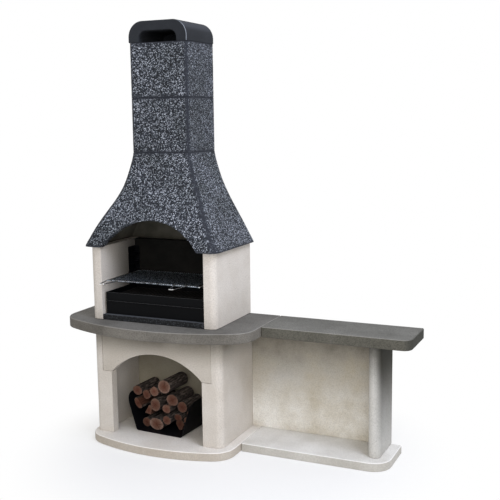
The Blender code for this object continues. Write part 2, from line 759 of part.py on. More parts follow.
bay_cut = ((-inner_half, box_front - CUT_OVERRUN, bay_floor), (inner_half, inner_rear, bay_top))
tray_cut = (
    (-inner_half, box_front + STEEL_SHEET, ledge_top),
    (inner_half, inner_rear, box_top + CUT_OVERRUN),
)
ledge_half = inner_half - FIRE_BOX_LEDGE
ash_fall_cut = (
    (-ledge_half, box_front + STEEL_SHEET + FIRE_BOX_LEDGE, bay_top - WELD_OVERLAP),
    (ledge_half, inner_rear - FIRE_BOX_LEDGE, ledge_top + WELD_OVERLAP),
)
for cut_name, cut in (
    ("drawer_front", front_cut),
    ("drawer_bay", bay_cut),
    ("charcoal_space", tray_cut),
    ("ash_fall", ash_fall_cut),
):
    boolean(casing, blocks(cut_name, [cut]))

# Charcoal grate: a cast plate with slots, which lies on the ledge and lifts out
grate_half = inner_half - GRATE_CLEARANCE
grate_front = box_front + STEEL_SHEET + GRATE_CLEARANCE
grate_rear = inner_rear - GRATE_CLEARANCE
grate_bottom = ledge_top + FIT_GAP
grate_top = grate_bottom + GRATE_THICKNESS
grate = block(
    "charcoal_grate",
    BLACK_IRON,
    (-grate_half, grate_front, grate_bottom),
    (grate_half, grate_rear, grate_top),
)
slot_room = 2 * (grate_half - GRATE_MARGIN) - GRATE_SLOT_WIDTH
slot_count = int(slot_room / GRATE_SLOT_PITCH) + 1
grate_middle = (grate_front + grate_rear) / 2
slot_rows = (
    (grate_front + GRATE_MARGIN, grate_middle - GRATE_SLOT_WIDTH / 2),
    (grate_middle + GRATE_SLOT_WIDTH / 2, grate_rear - GRATE_MARGIN),
)
slots = []
for i in range(slot_count):
    x = (i - (slot_count - 1) / 2) * GRATE_SLOT_PITCH
    for slot_front, slot_rear in slot_rows:
        slots.append(
            (
                (x - GRATE_SLOT_WIDTH / 2, slot_front, grate_bottom - CUT_OVERRUN),
                (x + GRATE_SLOT_WIDTH / 2, slot_rear, grate_top + CUT_OVERRUN),
            )
        )
boolean(grate, blocks("grate_slots", slots))

# Ash drawer: its front covers the bay and has a folded lip to pull by, and a tray runs behind it
front_bottom = box_bottom + FIT_GAP
front_top = bay_top - FIT_GAP
tray_half = inner_half - DRAWER_RUNNING_GAP
tray_bottom = bay_floor + FIT_GAP
tray_top = bay_top - DRAWER_HEADROOM
tray_front = box_front + STEEL_SHEET - WELD_OVERLAP
tray_rear = inner_rear - DRAWER_REAR_CLEARANCE
drawer = block(
    "ash_drawer",
    BLACK_STEEL,
    (-box_half, box_front, front_bottom),
    (box_half, box_front + STEEL_SHEET, front_top),
)
tray = ((-tray_half, tray_front, tray_bottom), (tray_half, tray_rear, tray_top))
lip_half = box_half - STEEL_SHEET
lip = (
    (-lip_half, box_front - DRAWER_LIP, front_top - STEEL_SHEET),
    (lip_half, box_front + WELD_OVERLAP, front_top),
)
tray_inside = (
    (STEEL_SHEET - tray_half, box_front + STEEL_SHEET, tray_bottom + STEEL_SHEET),
    (tray_half - STEEL_SHEET, tray_rear - STEEL_SHEET, tray_top + CUT_OVERRUN),
)
boolean(drawer, blocks("tray", [tray]), "UNION")
boolean(drawer, blocks("lip", [lip]), "UNION")
boolean(drawer, blocks("tray_inside", [tray_inside]))

# Grid supports: an angle bolted in each rear corner, whose shelves and hold-downs grip the grid's side rods
bracket_rear = -FIREBACK_FRONT - FIT_GAP
bracket_back_face = bracket_rear - STEEL_SHEET
bracket_front = bracket_rear - BRACKET_WALL_LEG
grid_outer_half = CHAMBER_INNER_HALF - GRID_SIDE_CLEARANCE
grid_rod_half = grid_outer_half - GRID_ROD_RADIUS
shelf_inner = grid_outer_half - 2 * GRID_ROD_RADIUS - SHELF_OVERREACH


def grid_bracket(name, side):
    """Folded angle with a pair of tabs at each height: a long shelf below the rod, a short one above it."""
    wall_side = CHAMBER_INNER_HALF - FIT_GAP
    outline = [
        (bracket_face, bracket_front),
        (wall_side, bracket_front),
        (wall_side, bracket_rear),
        (wall_side - BRACKET_BACK_LEG, bracket_rear),
        (wall_side - BRACKET_BACK_LEG, bracket_back_face),
        (bracket_face, bracket_back_face),
    ]
    bracket = slab(name, BLACK_STEEL, mirrored(outline, side), bracket_bottom, BRACKET_HEIGHT)
    across = sorted((side * shelf_inner, side * (bracket_face + WELD_OVERLAP)))
    tab_rear = bracket_back_face + WELD_OVERLAP
    tabs = []
    for shelf_top in shelf_tops:
        rod_top = shelf_top + 2 * (FIT_GAP + GRID_ROD_RADIUS)
        tabs.append(
            ((across[0], bracket_front, shelf_top - STEEL_SHEET), (across[1], tab_rear, shelf_top))
        )
        tabs.append(
            (
                (across[0], bracket_back_face - HOLD_DOWN_LENGTH, rod_top),
                (across[1], tab_rear, rod_top + STEEL_SHEET),
            )
        )
    boolean(bracket, blocks(name, tabs), "UNION")
    return boolean(bracket, bolt_holes(name, side))


def bracket_bolt(name, place):
    """Round-headed bolt, turned from its profile, whose shank goes through the support into the fireback."""
    dome = [(BOLT_HEAD_RADIUS * x, BOLT_HEAD_HEIGHT * z) for x, z in arc((0, 0), 1, 90, 0, DOME_STEPS)]
    shank_end = -STEEL_SHEET - 2 * FIT_GAP - bolt_reach
    profile = dome + [(BOLT_SHANK_RADIUS, 0), (BOLT_SHANK_RADIUS, shank_end), (0, shank_end)]
    bm = bmesh.new()
    verts = [bm.verts.new((radius, 0, height)) for radius, height in profile]
    for pair in zip(verts, verts[1:]):
        bm.edges.new(pair)
    mesh = bpy.data.meshes.new(name)
    bm.to_mesh(mesh)
    bm.free()
    head_seat = place - Vector((0, 2 * FIT_GAP + STEEL_SHEET, 0))
    bolt = make_object(name, mesh, BLACK_STEEL, head_seat, (math.radians(90), 0, 0))
    turned = bolt.modifiers.new("Turned", "SCREW")
    turned.steps = ROUND_SIDES
    turned.render_steps = ROUND_SIDES
    turned.use_merge_vertices = True
    turned.merge_threshold = MERGE_DISTANCE
    turned.use_smooth_shade = True
    return bolt


for side, word in ((-1, "left"), (1, "right")):
    grid_bracket(f"{word}_grid_bracket", side)
    for place, level in zip(bolt_places(side), ("lower", "upper")):
        bracket_bolt(f"{word}_{level}_bracket_bolt", place)

# Cooking grid: a frame of rods, with thinner wires welded on top from front to back
rod_level = shelf_tops[0] + FIT_GAP + GRID_ROD_RADIUS
grid_rear = bracket_back_face - GRID_REAR_CLEARANCE - GRID_ROD_RADIUS
grid_front = grid_rear + 2 * GRID_ROD_RADIUS - GRID_DEPTH
grid_origin = Vector((0, grid_front, rod_level))
side_rods = []
for side in (-1, 1):
    x = side * grid_rod_half
    side_rods.append(((x, -GRID_ROD_RADIUS, 0), (x, grid_rear - grid_front + GRID_ROD_RADIUS, 0)))
grid = make_object(
    "cooking_grid",
    cylinders("cooking_grid", side_rods, GRID_ROD_RADIUS, ROD_SIDES),
    CHROME,
    grid_origin,
)
cross_bars = [
    ((-grid_rod_half, y, rod_level), (grid_rod_half, y, rod_level)) for y in (grid_front, grid_rear)
]
boolean(grid, cylinders("cross_bars", cross_bars, GRID_ROD_RADIUS, ROD_SIDES), "UNION")
wire_level = rod_level + GRID_ROD_RADIUS + GRID_WIRE_RADIUS - GRID_WELD
wire_room = 2 * (grid_rod_half - GRID_WIRE_EDGE)
wire_gaps = int(wire_room / GRID_WIRE_PITCH)
wires = []
for i in range(wire_gaps + 1):
    x = (i - wire_gaps / 2) * GRID_WIRE_PITCH
    wires.append(((x, grid_front, wire_level), (x, grid_rear, wire_level)))
boolean(grid, cylinders("wires", wires, GRID_WIRE_RADIUS, WIRE_SIDES), "UNION")


def grid_handle(name, place_share):
    """Wire loop that narrows towards its tip, with both feet against the grid's front rod."""
    half_base, half_tip = HANDLE_BASE_WIDTH / 2, HANDLE_TIP_WIDTH / 2
    foot = -GRID_ROD_RADIUS - FIT_GAP
    bend_y = foot - HANDLE_LENGTH + HANDLE_BEND_RADIUS
    bend = arc((half_tip - HANDLE_BEND_RADIUS, bend_y), HANDLE_BEND_RADIUS, 0, -90, CORNER_STEPS)
    right = [(half_base, foot), (half_base, foot - HANDLE_FOOT)] + bend
    route = right + [(-x, y) for x, y in reversed(right)]
    curve = bpy.data.curves.new(name, "CURVE")
    curve.dimensions = "3D"
    curve.bevel_depth = HANDLE_ROD_RADIUS
    curve.bevel_resolution = 2
    curve.use_fill_caps = True
    spline = curve.splines.new("POLY")
    spline.points.add(len(route) - 1)
    for point, (x, y) in zip(spline.points, route):
        point.co = (x, y, 0, 1)
    return make_object(name, curve, CHROME, (place_share * grid_outer_half, grid_front, rod_level))


grid_handle("left_grid_handle", HANDLE_PLACE_SHARES[0])
grid_handle("right_grid_handle", HANDLE_PLACE_SHARES[1])

# Log cradle: one folded sheet with leaning sides, on an empty that sets its place and turn in the niche
cradle_place = bpy.data.objects.new("cradle_place", None)
cradle_place.parent = UNIT
cradle_place.location = (-CRADLE_OFFSET, CRADLE_SETBACK - PIER_DEPTH, BASE_TOP + FIT_GAP)
cradle_place.rotation_euler = (0, 0, CRADLE_TURN)
PIECES.objects.link(cradle_place)


def cradle_section(top):
    """Section of the folded sheet: a floor, a fold at each edge, and leaning sides up to a given height."""
    outer_radius = CRADLE_FOLD_RADIUS + STEEL_SHEET
    lean = math.degrees(CRADLE_LEAN)
    fold = (CRADLE_FLOOR_WIDTH / 2 - outer_radius * math.tan((math.pi / 2 - CRADLE_LEAN) / 2), outer_radius)

    def side_end(radius):
        start_x = fold[0] + radius * math.cos(CRADLE_LEAN)
        start_z = fold[1] - radius * math.sin(CRADLE_LEAN)
        return (start_x + (top - start_z) * math.tan(CRADLE_LEAN), top)

    outside = arc(fold, outer_radius, -90, -lean, CORNER_STEPS) + [side_end(outer_radius)]
    inside = [side_end(CRADLE_FOLD_RADIUS)] + arc(fold, CRADLE_FOLD_RADIUS, -lean, -90, CORNER_STEPS)
    right = outside + inside
    return right + [(-x, z) for x, z in reversed(right)]


cradle = upright(
    "log_cradle",
    BLACK_STEEL,
    cradle_section(CRADLE_HEIGHT + CUT_OVERRUN),
    -CUT_OVERRUN,
    CRADLE_DEPTH + CUT_OVERRUN,
    parent=cradle_place,
)
# The folded sheet is trimmed to its side view, whose two upper corners are rounded
corner_z = CRADLE_HEIGHT - CRADLE_TOP_CORNER_RADIUS
rear_corner = (CRADLE_DEPTH - CRADLE_TOP_CORNER_RADIUS, corner_z)
front_corner = (CRADLE_TOP_CORNER_RADIUS, corner_z)
side_view = outline_mesh(
    "side_view",
    [(0, -CUT_OVERRUN), (CRADLE_DEPTH, -CUT_OVERRUN)]
    + arc(rear_corner, CRADLE_TOP_CORNER_RADIUS, 0, 90, CORNER_STEPS)
    + arc(front_corner, CRADLE_TOP_CORNER_RADIUS, 90, 180, CORNER_STEPS),
    2 * CRADLE_FLOOR_WIDTH,
)
side_view.transform(Matrix(((0, 0, 1, 0), (1, 0, 0, 0), (0, 1, 0, 0), (0, 0, 0, 1))))
boolean(cradle, side_view, "INTERSECT")


def touching_both(first, second, radius):
    """Centres of a log that touches two supports, each a flat (point, normal) or a log (centre, radius)."""
    reach = radius + FIT_GAP
    if isinstance(second[1], Vector):
        (point_a, normal_a), (point_b, normal_b) = first, second
        spread = normal_a.x * normal_b.y - normal_a.y * normal_b.x
        level_a = normal_a.dot(point_a) + reach
        level_b = normal_b.dot(point_b) + reach
        across = level_a * normal_b.y - level_b * normal_a.y
        above = level_b * normal_a.x - level_a * normal_b.x
        return [Vector((across, above)) / spread]
    centre, other = second
    if isinstance(first[1], Vector):
        point, normal = first
        foot = centre + normal * (normal.dot(point - centre) + reach)
        along = Vector((-normal.y, normal.x))
        half_squared = (other + reach) ** 2 - (foot - centre).length_squared
    else:
        apart = first[0] - centre
        offset = (other + reach) ** 2 - (first[1] + reach) ** 2
        foot = centre + apart * (apart.length_squared + offset) / (2 * apart.length_squared)
        along = Vector((-apart.y, apart.x)).normalized()
        half_squared = (other + reach) ** 2 - (foot - centre).length_squared
    if half_squared < 0:
        return []
    return [foot + along * math.sqrt(half_squared), foot - along * math.sqrt(half_squared)]


def push(support, centre):
    """Direction in which a support pushes a log that rests on it."""
    return support[1] if isinstance(support[1], Vector) else (centre - support[0]).normalized()


def clear_of(supports, centre, radius):
    """Whether a log at this centre keeps its gap to the cradle and to every log already stacked."""
    for support in supports:
        if isinstance(support[1], Vector):
            room = support[1].dot(centre - support[0]) - radius
        else:
            room = (centre - support[0]).length - support[1] - radius
        if room < FIT_GAP - MERGE_DISTANCE:
            return False
    return True


def stack_logs():
    """Seats the logs in turn, each on the two supports that bring it nearest to the place of its shares."""
    half_floor = CRADLE_FLOOR_WIDTH / 2 - STEEL_SHEET * math.tan((math.pi / 2 - CRADLE_LEAN) / 2)
    up_side = Vector((math.cos(CRADLE_LEAN), math.sin(CRADLE_LEAN)))
    supports = [
        (Vector((0, STEEL_SHEET)), Vector((0, 1))),
        (Vector((-half_floor, STEEL_SHEET)), up_side),
        (Vector((half_floor, STEEL_SHEET)), Vector((-up_side.x, up_side.y))),
    ]
    seats = []
    for radius_share, x_share, z_share, setback_share in LOG_SHARES:
        radius = radius_share * CRADLE_FLOOR_WIDTH
        wanted = Vector((x_share * CRADLE_FLOOR_WIDTH, z_share * CRADLE_FLOOR_WIDTH + STEEL_SHEET))
        choices = []
        for first, second in combinations(supports, 2):
            for centre in touching_both(first, second, radius):
                push_a, push_b = push(first, centre), push(second, centre)
                lift = push_a.y * abs(push_b.x) + push_b.y * abs(push_a.x)
                if push_a.x * push_b.x <= 0 < lift and clear_of(supports, centre, radius):
                    choices.append(((centre - wanted).length, tuple(centre), tuple(push_a)))
        centre, towards = (Vector(value) for value in min(choices)[1:])
        supports.append((centre, radius))
        seats.append((centre, radius, setback_share * CRADLE_DEPTH, math.atan2(towards.y, towards.x)))
    return seats


for number, (centre, radius, setback, turn) in enumerate(stack_logs(), start=1):
    name = f"log_{number:02d}"
    length = CRADLE_DEPTH - setback
    mesh = cylinders(name, [((0, 0, -length / 2), (0, 0, length / 2))], radius, LOG_SIDES)
    mesh.transform(Matrix.Rotation(turn, 4, "Z"))
    middle = (centre.x, setback + length / 2, centre.y)
    make_object(name, mesh, FIREWOOD, middle, (math.radians(90), 0, 0), parent=cradle_place)
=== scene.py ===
import math

import bmesh
import bpy
from mathutils import Matrix, Vector, noise


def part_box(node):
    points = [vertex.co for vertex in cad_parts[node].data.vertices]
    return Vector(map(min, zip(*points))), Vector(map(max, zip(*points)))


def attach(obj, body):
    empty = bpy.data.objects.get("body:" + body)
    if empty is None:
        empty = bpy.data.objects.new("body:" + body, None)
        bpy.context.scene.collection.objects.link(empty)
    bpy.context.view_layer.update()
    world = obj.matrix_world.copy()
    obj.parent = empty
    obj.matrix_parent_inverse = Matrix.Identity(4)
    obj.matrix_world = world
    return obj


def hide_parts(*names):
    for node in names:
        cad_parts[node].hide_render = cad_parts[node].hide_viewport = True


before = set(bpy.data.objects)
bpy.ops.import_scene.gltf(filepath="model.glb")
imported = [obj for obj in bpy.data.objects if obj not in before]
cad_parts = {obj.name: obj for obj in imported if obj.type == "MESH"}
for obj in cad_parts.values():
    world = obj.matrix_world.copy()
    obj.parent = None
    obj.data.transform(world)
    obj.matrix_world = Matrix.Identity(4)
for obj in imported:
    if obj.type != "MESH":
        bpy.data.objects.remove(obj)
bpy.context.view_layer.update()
bpy.context.scene.view_settings.view_transform = "Standard"

# Base slabs. Two slabs of cast concrete, cream under the main unit and paler under the side bay, laid on
# the ground and butted. They were cast in smooth moulds, so the faces wander by a fraction of a
# millimetre, the arrises are rounded and a few air pinholes stay open.
WELD = 0.00002
FLAT = math.radians(0.3)
SHARP = math.radians(30)
CRISP = math.radians(50)
ARRIS_STEPS = 3
CAST_CELL = 0.030
CAST_WANDER = 0.0007
CAST_WAVES_PER_METRE = 15
SLAB_ARRIS = 0.0014
BLOCK_ARRIS = 0.0007
CLOUD_SIZE = 0.250
# The sand is drawn as 5 mm grains, about twice its real size, so that it shows at this distance
SAND_SIZE = 0.005
SAND_RELIEF = 0.0012
PINHOLES_PER_METRE = 26
STREAKS_PER_METRE = 30
STREAK_STRETCH = 0.15
# How fully each tint covers the concrete, past 1 where its patches run together
STREAK_COVER = 2.6
SHADE_UNDER_TOP_COVER = 1.6
SIDE_SHADE_COVER = 1.05
SOOT_AND_SHADE_COVER = 0.80
# Parts of a face's normal between which it comes to count as upright, as frontal and as turned forward or
# outward at a corner
UPRIGHT_FROM, UPRIGHT_TO = 0.6, 0.2
FRONTAL_FROM, FRONTAL_TO = 0.8, 0.2
FORWARD_FROM, FORWARD_TO = -0.97, -0.80
OUTWARD_FROM, OUTWARD_TO = -0.08, -0.30
PLAIN_WHITE = "#FFFFFF"
FULL_BYTE = 255


def linear(hex_colour):
    """Turns an sRGB hex colour into the linear values that a shader takes."""
    values = [int(hex_colour[i : i + 2], 16) / FULL_BYTE for i in (1, 3, 5)]
    return [v / 12.92 if v <= 0.04045 else ((v + 0.055) / 1.055) ** 2.4 for v in values] + [1]


def add(tree, kind, settings=None, links=None):
    """Adds a node, sets its properties, inputs or ramp stops, and links its inputs."""
    node = tree.nodes.new(kind)
    for key, value in (settings or {}).items():
        if key == "stops":
            ramp = node.color_ramp.elements
            ramp[0].position, ramp[0].color = value[0][0], linear(value[0][1])
            ramp[1].position, ramp[1].color = value[-1][0], linear(value[-1][1])
            for place, colour in value[1:-1]:
                ramp.new(place).color = linear(colour)
        elif isinstance(key, str) and hasattr(node, key):
            setattr(node, key, value)
        else:
            node.inputs[key].default_value = value
    for key, socket in (links or {}).items():
        tree.links.new(socket, node.inputs[key])
    return node


def new_material(name, roughness, metallic=0.0, specular=0.5):
    """A material with its tree and its shader."""
    material = bpy.data.materials.new(name)
    material.use_nodes = True
    shader = material.node_tree.nodes["Principled BSDF"]
    shader.inputs["Roughness"].default_value = roughness
    shader.inputs["Metallic"].default_value = metallic
    shader.inputs["Specular IOR Level"].default_value = specular
    return material, material.node_tree, shader


def cast_concrete(
    name,
    dark,
    light,
    sand=0.90,
    soot_and_shade=None,
    shade_under_top=None,
    edge=PLAIN_WHITE,
    arris="#E9E4DC",
    side_shade=None,
    corner=None,
):
    """Smooth cast concrete: clouds of uneven drying, dark to light, grains of sand and air pinholes.

    Sand is the grains' tone against the paste. Edge tints the upright faces, in streaks, and arris is the
    colour of a painted highlight on the rounded upper arrises. Soot and shade is (middle x, half width,
    front y, rear y): it darkens the chamber's inside towards the rear, as soot and painted shade deep in the
    chamber.
    Shade under a top is (colour, top z, low z): painted shade under a worktop that fades downwards. Neither
    it nor the soot and shade reaches the faces at the back of the barbecue. Side shade is in the same form:
    painted shade on the faces that turn to +X.
    Corner is (colour, least x): a painted highlight on the rounded arris between the front and the side that
    faces +X.
    """
    material, tree, shader = new_material(name, 0.85, specular=0.3)
    coordinates = add(tree, "ShaderNodeTexCoord")
    place = coordinates.outputs["Object"]
    clouds = add(
        tree,
        "ShaderNodeTexNoise",
        {"Scale": 1 / CLOUD_SIZE, "Detail": 6.0, "Roughness": 0.62},
        {"Vector": place},
    )
    tone = add(
        tree,
        "ShaderNodeValToRGB",
        {"stops": ((0.34, dark), (0.66, light))},
        {"Fac": clouds.outputs["Fac"]},
    )
    grains = add(tree, "ShaderNodeTexNoise", {"Scale": 1 / SAND_SIZE, "Detail": 3.0}, {"Vector": place})
    grey = "#" + f"{round(FULL_BYTE * sand):02X}" * 3
    speckle = add(
        tree,
        "ShaderNodeValToRGB",
        {"stops": ((0.32, grey), (0.60, PLAIN_WHITE))},
        {"Fac": grains.outputs["Fac"]},
    )
    colour = add(
        tree,
        "ShaderNodeMixRGB",
        {"blend_type": "MULTIPLY", "Fac": 1.0},
        {"Color1": tone.outputs["Color"], "Color2": speckle.outputs["Color"]},
    )
    pores = add(tree, "ShaderNodeTexVoronoi", {"Scale": PINHOLES_PER_METRE}, {"Vector": place})
    holes = add(
        tree,
        "ShaderNodeValToRGB",
        {"stops": ((0.030, "#8C867C"), (0.050, PLAIN_WHITE))},
        {"Fac": pores.outputs["Distance"]},
    )
    colour = add(
        tree,
        "ShaderNodeMixRGB",
        {"blend_type": "MULTIPLY", "Fac": 1.0},
        {"Color1": colour.outputs["Color"], "Color2": holes.outputs["Color"]},
    )
    parts = add(tree, "ShaderNodeSeparateXYZ", None, {"Vector": place})
    facing = add(tree, "ShaderNodeSeparateXYZ", None, {"Vector": coordinates.outputs["Normal"]})
    if edge != PLAIN_WHITE:
        tall = add(tree, "ShaderNodeMapping", {"Scale": (1.0, 1.0, STREAK_STRETCH)}, {"Vector": place})
        streaks = add(
            tree,
            "ShaderNodeTexNoise",
            {"Scale": STREAKS_PER_METRE, "Detail": 4.0},
            {"Vector": tall.outputs["Vector"]},
        )
        upright = add(
            tree,
            "ShaderNodeMapRange",
            {"From Min": UPRIGHT_FROM, "From Max": UPRIGHT_TO, "To Max": STREAK_COVER},
            {"Value": facing.outputs["Z"]},
        )
        reach = add(
            tree,
            "ShaderNodeMath",
            {"operation": "MULTIPLY", "use_clamp": True},
            {0: upright.outputs["Result"], 1: streaks.outputs["Fac"]},
        )
        colour = add(
            tree,
            "ShaderNodeMixRGB",
            {"blend_type": "MULTIPLY", "Color2": linear(edge)},
            {"Fac": reach.outputs["Value"], "Color1": colour.outputs["Color"]},
        )
    # Painted highlight: faces tilted between flat and upright, the rounded upper arrises, turn towards the
    # arris colour
    arris_highlight_mask = add(
        tree,
        "ShaderNodeValToRGB",
        {"stops": ((0.35, "#000000"), (0.60, "#A0A0A0"), (0.80, "#A0A0A0"), (0.96, "#000000"))},
        {"Fac": facing.outputs["Z"]},
    )
    colour = add(
        tree,
        "ShaderNodeMixRGB",
        {"Color2": linear(arris)},
        {"Fac": arris_highlight_mask.outputs["Color"], "Color1": colour.outputs["Color"]},
    )
    # Painted highlight on the rounded corner between the front and the +X side, past least x
    if corner:
        corner_highlight_colour, least_x = corner
        outer = add(
            tree,
            "ShaderNodeMath",
            {"operation": "GREATER_THAN", 1: least_x},
            {0: parts.outputs["X"]},
        )
        frontward = add(
            tree,
            "ShaderNodeMapRange",
            {"From Min": FORWARD_FROM, "From Max": FORWARD_TO},
            {"Value": facing.outputs["Y"]},
        )
        outward = add(
            tree,
            "ShaderNodeMath",
            {"operation": "MULTIPLY"},
            {0: facing.outputs["X"], 1: facing.outputs["Y"]},
        )
        outward = add(
            tree,
            "ShaderNodeMapRange",
            {"From Min": OUTWARD_FROM, "From Max": OUTWARD_TO},
            {"Value": outward.outputs["Value"]},
        )
        corner_highlight_mask = add(
            tree,
            "ShaderNodeMath",
            {"operation": "MULTIPLY", "use_clamp": True},
            {0: frontward.outputs["Result"], 1: outward.outputs["Result"]},
        )
        corner_highlight_mask = add(
            tree,
            "ShaderNodeMath",
            {"operation": "MULTIPLY"},
            {0: corner_highlight_mask.outputs["Value"], 1: outer.outputs["Value"]},
        )
        colour = add(
            tree,
            "ShaderNodeMixRGB",
            {"Color2": linear(corner_highlight_colour)},
            {"Fac": corner_highlight_mask.outputs["Value"], "Color1": colour.outputs["Color"]},
        )
    not_rear_facing = add(
        tree,
        "ShaderNodeMapRange",
        {"From Min": FRONTAL_FROM, "From Max": FRONTAL_TO},
        {"Value": facing.outputs["Y"]},
    )
    # Painted shade under a worktop: darker towards the top, in patches, on all but the rear-facing faces
    if shade_under_top:
        shade_under_top_colour, top, low = shade_under_top
        reach = add(
            tree,
            "ShaderNodeMapRange",
            {"interpolation_type": "SMOOTHSTEP", "From Min": low, "From Max": top, "To Max": SHADE_UNDER_TOP_COVER},
            {"Value": parts.outputs["Z"]},
        )
        patchy = add(
            tree,
            "ShaderNodeMath",
            {"operation": "MULTIPLY", "use_clamp": True},
            {0: reach.outputs["Result"], 1: clouds.outputs["Fac"]},
        )
        patchy = add(
            tree,
            "ShaderNodeMath",
            {"operation": "MULTIPLY"},
            {0: patchy.outputs["Value"], 1: not_rear_facing.outputs["Result"]},
        )
        colour = add(
            tree,
            "ShaderNodeMixRGB",
            {"Color2": linear(shade_under_top_colour)},
            {"Fac": patchy.outputs["Value"], "Color1": colour.outputs["Color"]},
        )
    # Painted shade on the faces that turn to +X, deepest towards the top
    if side_shade:
        side_shade_colour, top, low = side_shade
        reach = add(
            tree,
            "ShaderNodeMapRange",
            {"interpolation_type": "SMOOTHSTEP", "From Min": low, "From Max": top, "To Max": SIDE_SHADE_COVER},
            {"Value": parts.outputs["Z"]},
        )
        sideways = add(
            tree,
            "ShaderNodeMath",
            {"operation": "MULTIPLY", "use_clamp": True},
            {0: reach.outputs["Result"], 1: facing.outputs["X"]},
        )
        colour = add(
            tree,
            "ShaderNodeMixRGB",
            {"Color2": linear(side_shade_colour)},
            {"Fac": sideways.outputs["Value"], "Color1": colour.outputs["Color"]},
        )
    # Soot and painted shade: the chamber's inside darkens from the front towards the rear
    if soot_and_shade:
        middle, half_width, front, rear = soot_and_shade
        depth = add(
            tree,
            "ShaderNodeMapRange",
            {"interpolation_type": "SMOOTHSTEP", "From Min": front, "From Max": rear, "To Max": SOOT_AND_SHADE_COVER},
            {"Value": parts.outputs["Y"]},
        )
        across = add(
            tree,
            "ShaderNodeMath",
            {"operation": "COMPARE", 1: middle, 2: half_width},
            {0: parts.outputs["X"]},
        )
        inside = add(
            tree,
            "ShaderNodeMath",
            {"operation": "MULTIPLY", "use_clamp": True},
            {0: depth.outputs["Result"], 1: across.outputs["Value"]},
        )
        inside = add(
            tree,
            "ShaderNodeMath",
            {"operation": "MULTIPLY"},
            {0: inside.outputs["Value"], 1: not_rear_facing.outputs["Result"]},
        )
        colour = add(
            tree,
            "ShaderNodeMixRGB",
            {"Color2": linear("#2A2825")},
            {"Fac": inside.outputs["Value"], "Color1": colour.outputs["Color"]},
        )
    height = add(
        tree,
        "ShaderNodeMath",
        {"operation": "MULTIPLY"},
        {0: grains.outputs["Fac"], 1: holes.outputs["Color"]},
    )
    relief = add(
        tree,
        "ShaderNodeBump",
        {"Strength": 0.35, "Distance": SAND_RELIEF},
        {"Height": height.outputs["Value"]},
    )
    tree.links.new(colour.outputs["Color"], shader.inputs["Base Color"])
    tree.links.new(relief.outputs["Normal"], shader.inputs["Normal"])
    return material


def settle(piece, body, nodes):
    """Puts a finished piece in the scene: it rides on a body and stands for its CAD nodes."""
    bpy.context.scene.collection.objects.link(piece)
    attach(piece, body)
    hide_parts(*nodes)
    return piece


def wander(bm, depth, waves):
    """Sinks the faces by an amount that drifts from place to place, as they come out of a worn mould."""
    bm.normal_update()
    moves = [(v, v.normal * depth * (1 + noise.noise(v.co * waves)) / 2) for v in bm.verts]
    for vert, move in moves:
        vert.co -= move


def round_arrises(bm, arris, clamp):
    """Welds a mesh, joins its flat faces and rounds its arrises over, clamped where faces are narrow."""
    bmesh.ops.remove_doubles(bm, verts=bm.verts, dist=WELD)
    bmesh.ops.dissolve_limit(bm, angle_limit=FLAT, verts=bm.verts, edges=bm.edges)
    sharp = [e for e in bm.edges if e.is_manifold and e.calc_face_angle() > SHARP]
    bmesh.ops.bevel(
        bm,
        geom=sharp,
        affect="EDGES",
        offset=arris,
        segments=ARRIS_STEPS,
        profile=0.5,
        material=-1,
        clamp_overlap=clamp,
    )


def smooth(mesh, *materials):
    """Shades a mesh smooth but for its sharp edges, and gives it its materials."""
    mesh.shade_smooth()
    mesh.set_sharp_from_angle(angle=CRISP)
    for material in materials:
        mesh.materials.append(material)


def finished_copy(node, body, material, arris, drift=0.0):
    """A CAD piece with rounded arrises. With a drift its faces are cut in cells and wander that deep."""
    bm = bmesh.new()
    bm.from_mesh(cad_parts[node].data)
    round_arrises(bm, arris, clamp=True)
    if drift:
        low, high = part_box(node)
        for axis in range(3):
            count = round((high[axis] - low[axis]) / CAST_CELL)
            across = Vector([float(axis == i) for i in range(3)])
            for i in range(1, count):
                level = low[axis] + (high[axis] - low[axis]) * i / count
                geometry = bm.verts[:] + bm.edges[:] + bm.faces[:]
                bmesh.ops.bisect_plane(bm, geom=geometry, plane_co=across * level, plane_no=across)
        wander(bm, drift, CAST_WAVES_PER_METRE)
    mesh = bpy.data.meshes.new(f"{node}_finished")
    bm.to_mesh(mesh)
    bm.free()
    smooth(mesh, material)
    piece = bpy.data.objects.new(f"{node}_finished", mesh)
    piece.modifiers.new("Weighted", "WEIGHTED_NORMAL").keep_sharp = True
    return settle(piece, body, [node])


# The moulds' clean faces need no painted shade, and their upper arrises get a painted highlight nearly white
cream = cast_concrete("cream_cast_concrete", "#E4DDD4", "#F2EEE8", edge="#D2CDC5", arris="#F8F6F2")
pale = cast_concrete("pale_cast_concrete", "#DAD7D0", "#F4F2EE", edge="#D8D6D1", arris="#F8F7F5")
finished_copy("base_slab", "masonry", cream, SLAB_ARRIS, CAST_WANDER)
finished_copy("side_base_slab", "masonry", pale, SLAB_ARRIS, CAST_WANDER)

# Log niche. Two piers, each a wall with a post cast on its front, an arched lintel set into rebates at
# their tops, and a plain wall between them at the rear. All are cream concrete glued with thin joints.
PIER_SHADE_REACH = 0.17
NICHE_SHADE_REACH = 0.40
pier_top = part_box("left_pier")[1].z
# Painted shade under the worktop, fading down from the piers' tops
pier_shade_under_top = ("#6C6557", pier_top, pier_top - PIER_SHADE_REACH)
pier_cream = cast_concrete("pier_concrete", "#D2CABF", "#E0DAD2", shade_under_top=pier_shade_under_top)
for node in ("left_pier", "right_pier"):
    finished_copy(node, "masonry", pier_cream, BLOCK_ARRIS, CAST_WANDER)
# The lintel is a darker copy of the pier concrete as painted shade, with the same painted shade under the
# worktop
shaded_lintel_cream = cast_concrete("shaded_lintel_concrete", "#C3BBAF", "#D2CBC1", shade_under_top=pier_shade_under_top)
finished_copy("arch_lintel", "masonry", shaded_lintel_cream, BLOCK_ARRIS, CAST_WANDER)
